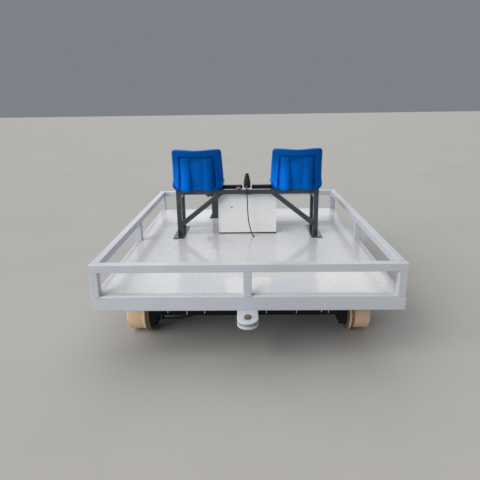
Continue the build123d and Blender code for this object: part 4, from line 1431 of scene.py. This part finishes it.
def buildDrive():
    low, high = box("drive_unit")
    axle, x = middle("axle_front"), middle("drive_unit").x
    sill, radius = box("sill_left")[0].z, drive["motorRadius"]
    caseRear, caseFront = axle.y - drive["rearToAxle"], axle.y + drive["frontToAxle"]
    caseHigh, motorZ = sill - drive["caseDrop"], sill - radius
    motor, case = bmesh.new(), bmesh.new()
    finSize = (drive["finHeight"], caseRear - low.y - drive["finEnds"], drive["finThickness"])
    finMiddle = Vector((x, (caseRear + low.y) / 2 + drive["finShift"], motorZ))
    for number, out in enumerate(circle(drive["fins"], radius, "y")):
        if out.z > drive["finsBelow"] * radius:
            continue
        turn = Matrix.Rotation(-math.tau * (number + 0.5) / drive["fins"], 4, "Y")
        softBox(motor, finSize, Matrix.Translation(finMiddle + out) @ turn, edge=0.8, segments=2)
    turned(motor, drive["bell"], (x, low.y, motorZ), (0, 1, 0), arc=4, steps=64)
    turned(motor, drive["flange"], (x, caseRear - drive["flangeBack"], motorZ), (0, 1, 0), steps=64)
    for out in circle(drive["bellBolts"], drive["bellCircle"], "y"):
        spot = Vector((x, low.y + drive["bellFace"], motorZ)) + out
        bolt(motor, drive["bellBolt"], spot, (0, -1, 0))
    corner = Vector((x, caseRear, motorZ))
    for name, edge in (("terminalBox", 4), ("terminalLid", 2)):
        block(motor, *(corner + Vector(offset) for offset in drive[name]), edge=edge)
    settle(motor, "motor_parts", "black_steel")
    halfX, halfY = drive["ribHalves"]
    for y in (caseRear, caseFront):
        block(case, (x - halfX, y - halfY, low.z), (x + halfX, y + halfY, caseHigh), edge=3)
    deep, half, inset = drive["sideRib"]
    for side in (-1, 1):
        face = x + side * drive["caseHalf"]
        turned(case, drive["cover"], (face, *axle.yz), (side, 0, 0), steps=48)
        for out in circle(drive["coverBolts"], drive["coverCircle"], "x", shift=0):
            spot = Vector((face + side * drive["coverFace"], *axle.yz)) + out
            bolt(case, drive["coverBolt"], spot, (side, 0, 0))
        left, right = sorted((face, face + side * deep))
        for share in drive["sideRibs"]:
            y = caseRear + (caseFront - caseRear) * share
            block(case, (left, y - half, low.z + inset), (right, y + half, caseHigh - inset),
                  edge=2)
    bolt(case, drive["drainPlug"], (x, axle.y + drive["drainFromAxle"], low.z), (0, 0, -1))
    settle(case, "gear_case_parts", "black_steel")


# Bearings: foot bolts with nuts, seals beside the axle, a grease nipple
bearing = {
    "foot": 50, "footPlate": 14,
    "footBolts": 58, "footBolt": (19, 8, 2.4), "footNut": (19, 10, 2.4),
    "seal": ((21, 0, 0), (40, 0, 0), (39, 1.6, 0.6), (25, 2.4, 0.6), (21, 2.4, 0), (21, 0, 0)),
    "sealFace": 19,
    "nipple": ((0, 0, 0), (4, 0, 0), (4, 4, 0.4), (2.4, 5, 0.4), (2.4, 8, 0.3), (3, 9, 0.4),
               (2, 12, 0.6), (0, 12, 0)),
    "nipplePlace": 29,
    "withLug": "bearing_rear_left",     # its nipple is on the side away from the brake lug
}


def buildBearingParts():
    bolts, seals, nipples = bmesh.new(), bmesh.new(), bmesh.new()
    for nodeName in sorted(nodes):
        if not nodeName.startswith("bearing_"):
            continue
        x = middle(nodeName).x
        axle = middle("axle_rear" if "_rear_" in nodeName else "axle_front")
        foot = axle.z + bearing["foot"]
        for side in (-1, 1):
            y = axle.y + side * bearing["footBolts"]
            bolt(bolts, bearing["footBolt"], (x, y, foot))
            bolt(bolts, bearing["footNut"], (x, y, foot - bearing["footPlate"]), (0, 0, -1))
            spot = (x + side * bearing["sealFace"], *axle.yz)
            turned(seals, bearing["seal"], spot, (side, 0, 0), steps=48)
        away = 1 if nodeName == bearing["withLug"] else -1
        place = bearing["nipplePlace"]
        turned(nipples, bearing["nipple"], (x, axle.y + away * place, axle.z - place),
               (0, away, -1), steps=20)
    settle(bolts, "bearing_bolts", "bare_steel")
    settle(seals, "bearing_seals", "black_rubber")
    settle(nipples, "grease_nipples", "bare_steel", finish=brass)


# Sub-frame welds and the paint drips under the rear beam
underneath = {
    "weld": 3.0,
    "crossWeld": (2, 3),       # in from the lower and the upper end of a cross member
    "joistWeld": (22, 1),      # reach to each side of a joist, and below the sill's top
    "drips": ((-487, 14), (-371, 24), (-262, 19), (114, 20), (296, 20), (447, 14), (490, 18)),
    "dripRadius": 2.1,     # drips above: place and length
    "dripBack": 9.0,
    # shares of a drip's radius and length, height above that, corner radius
    "dripShape": ((0, 1, 0, 0), (1, 1, 0, 0.9), (1, 1, 3.5, 1), (0.6, 0.45, 0, 2),
                  (1.3, 0, 0.6, 0.6), (0, 0, 0.6, 0)),
}


def buildUnderneath():
    welds, drips = bmesh.new(), bmesh.new()
    lower, upper = underneath["crossWeld"]
    for name in ("rear", "drive", "front"):
        low, high = box("cross_" + name)
        for x in (low.x, high.x):
            for y in (low.y, high.y):
                bead(welds, (x, y, low.z + lower), (x, y, high.z - upper), underneath["weld"])
    reach, down = underneath["joistWeld"]
    for node in ("sill_left", "sill_right"):
        low, high = box(node)
        for name in ("rear", "middle", "front"):
            y, z = middle("joist_" + name).y, high.z - down
            for x in (low.x, high.x):
                bead(welds, (x, y - reach, z), (x, y + reach, z), underneath["weld"])
    settle(welds, "frame_welds", "grey_paint")
    low = box("beam_rear")[0]
    radius = underneath["dripRadius"]
    for x, length in underneath["drips"]:
        rows = [(radius * wide, up - length * down, corner)
                for wide, down, up, corner in underneath["dripShape"]]
        turned(drips, rows, (x, low.y + underneath["dripBack"], low.z), arc=4, steps=16)
    settle(drips, "paint_drips", "white_paint")


buildDrive()
buildBearingParts()
buildUnderneath()
print("running gear parts made")


# Studio: floor, world and lights
studio = {
    "floorSize": 120.0,
    "floor": (0.44, 0.43, 0.41),
    "world": (0.80, 0.86, 0.94),
    "worldStrength": 0.26,
    "suns": (
        # name, where from, strength, softness in degrees, colour
        ("overhead", (-0.2, 0.5, 1.5), 1.25, 80, (1.0, 0.985, 0.96)),
        ("left", (-1.35, -0.92, 1.0), 2.45, 50, (1.0, 0.99, 0.98)),
        ("behind", (0.0, 1.5, 0.4), 0.24, 40, (0.97, 0.99, 1.0)),
    ),
}


def floorFinish():
    finish = Finish("studioFloor")
    cloud = finish.patches(0.3, 0.7, 0.8, 5, 0.6)
    grain = finish.noise(60.0, 6, 0.65)
    base = studio["floor"]
    colour = finish.mix(cloud * 0.5 + 0.3 * grain, base, tuple(c * 0.9 for c in base))
    return finish.feed(colour=colour, rough=0.75 + 0.1 * grain,
                       normal=finish.bump(grain, 0.0008, 0.3))


def buildStudio():
    mesh = bmesh.new()
    bmesh.ops.create_grid(mesh, x_segments=4, y_segments=4, size=studio["floorSize"] / 2)
    data = bpy.data.meshes.new("floor")
    mesh.to_mesh(data)
    mesh.free()
    data.materials.append(floorFinish().material)
    floor = bpy.data.objects.new("floor", data)
    bpy.context.scene.collection.objects.link(floor)
    world = bpy.data.worlds.new("studio")
    world.use_nodes = True
    sky = world.node_tree.nodes["Background"]
    sky.inputs["Color"].default_value = (*studio["world"], 1)
    sky.inputs["Strength"].default_value = studio["worldStrength"]
    bpy.context.scene.world = world
    for name, origin, strength, softness, colour in studio["suns"]:
        lamp = bpy.data.lights.new(name, "SUN")
        lamp.energy = strength
        lamp.angle = math.radians(softness)
        lamp.color = colour
        holder = bpy.data.objects.new(name, lamp)
        bpy.context.scene.collection.objects.link(holder)
        holder.matrix_world = (-Vector(origin)).to_track_quat("-Z", "Y").to_matrix().to_4x4()


buildStudio()
bpy.context.scene.view_settings.view_transform = "Standard"
print("studio made")
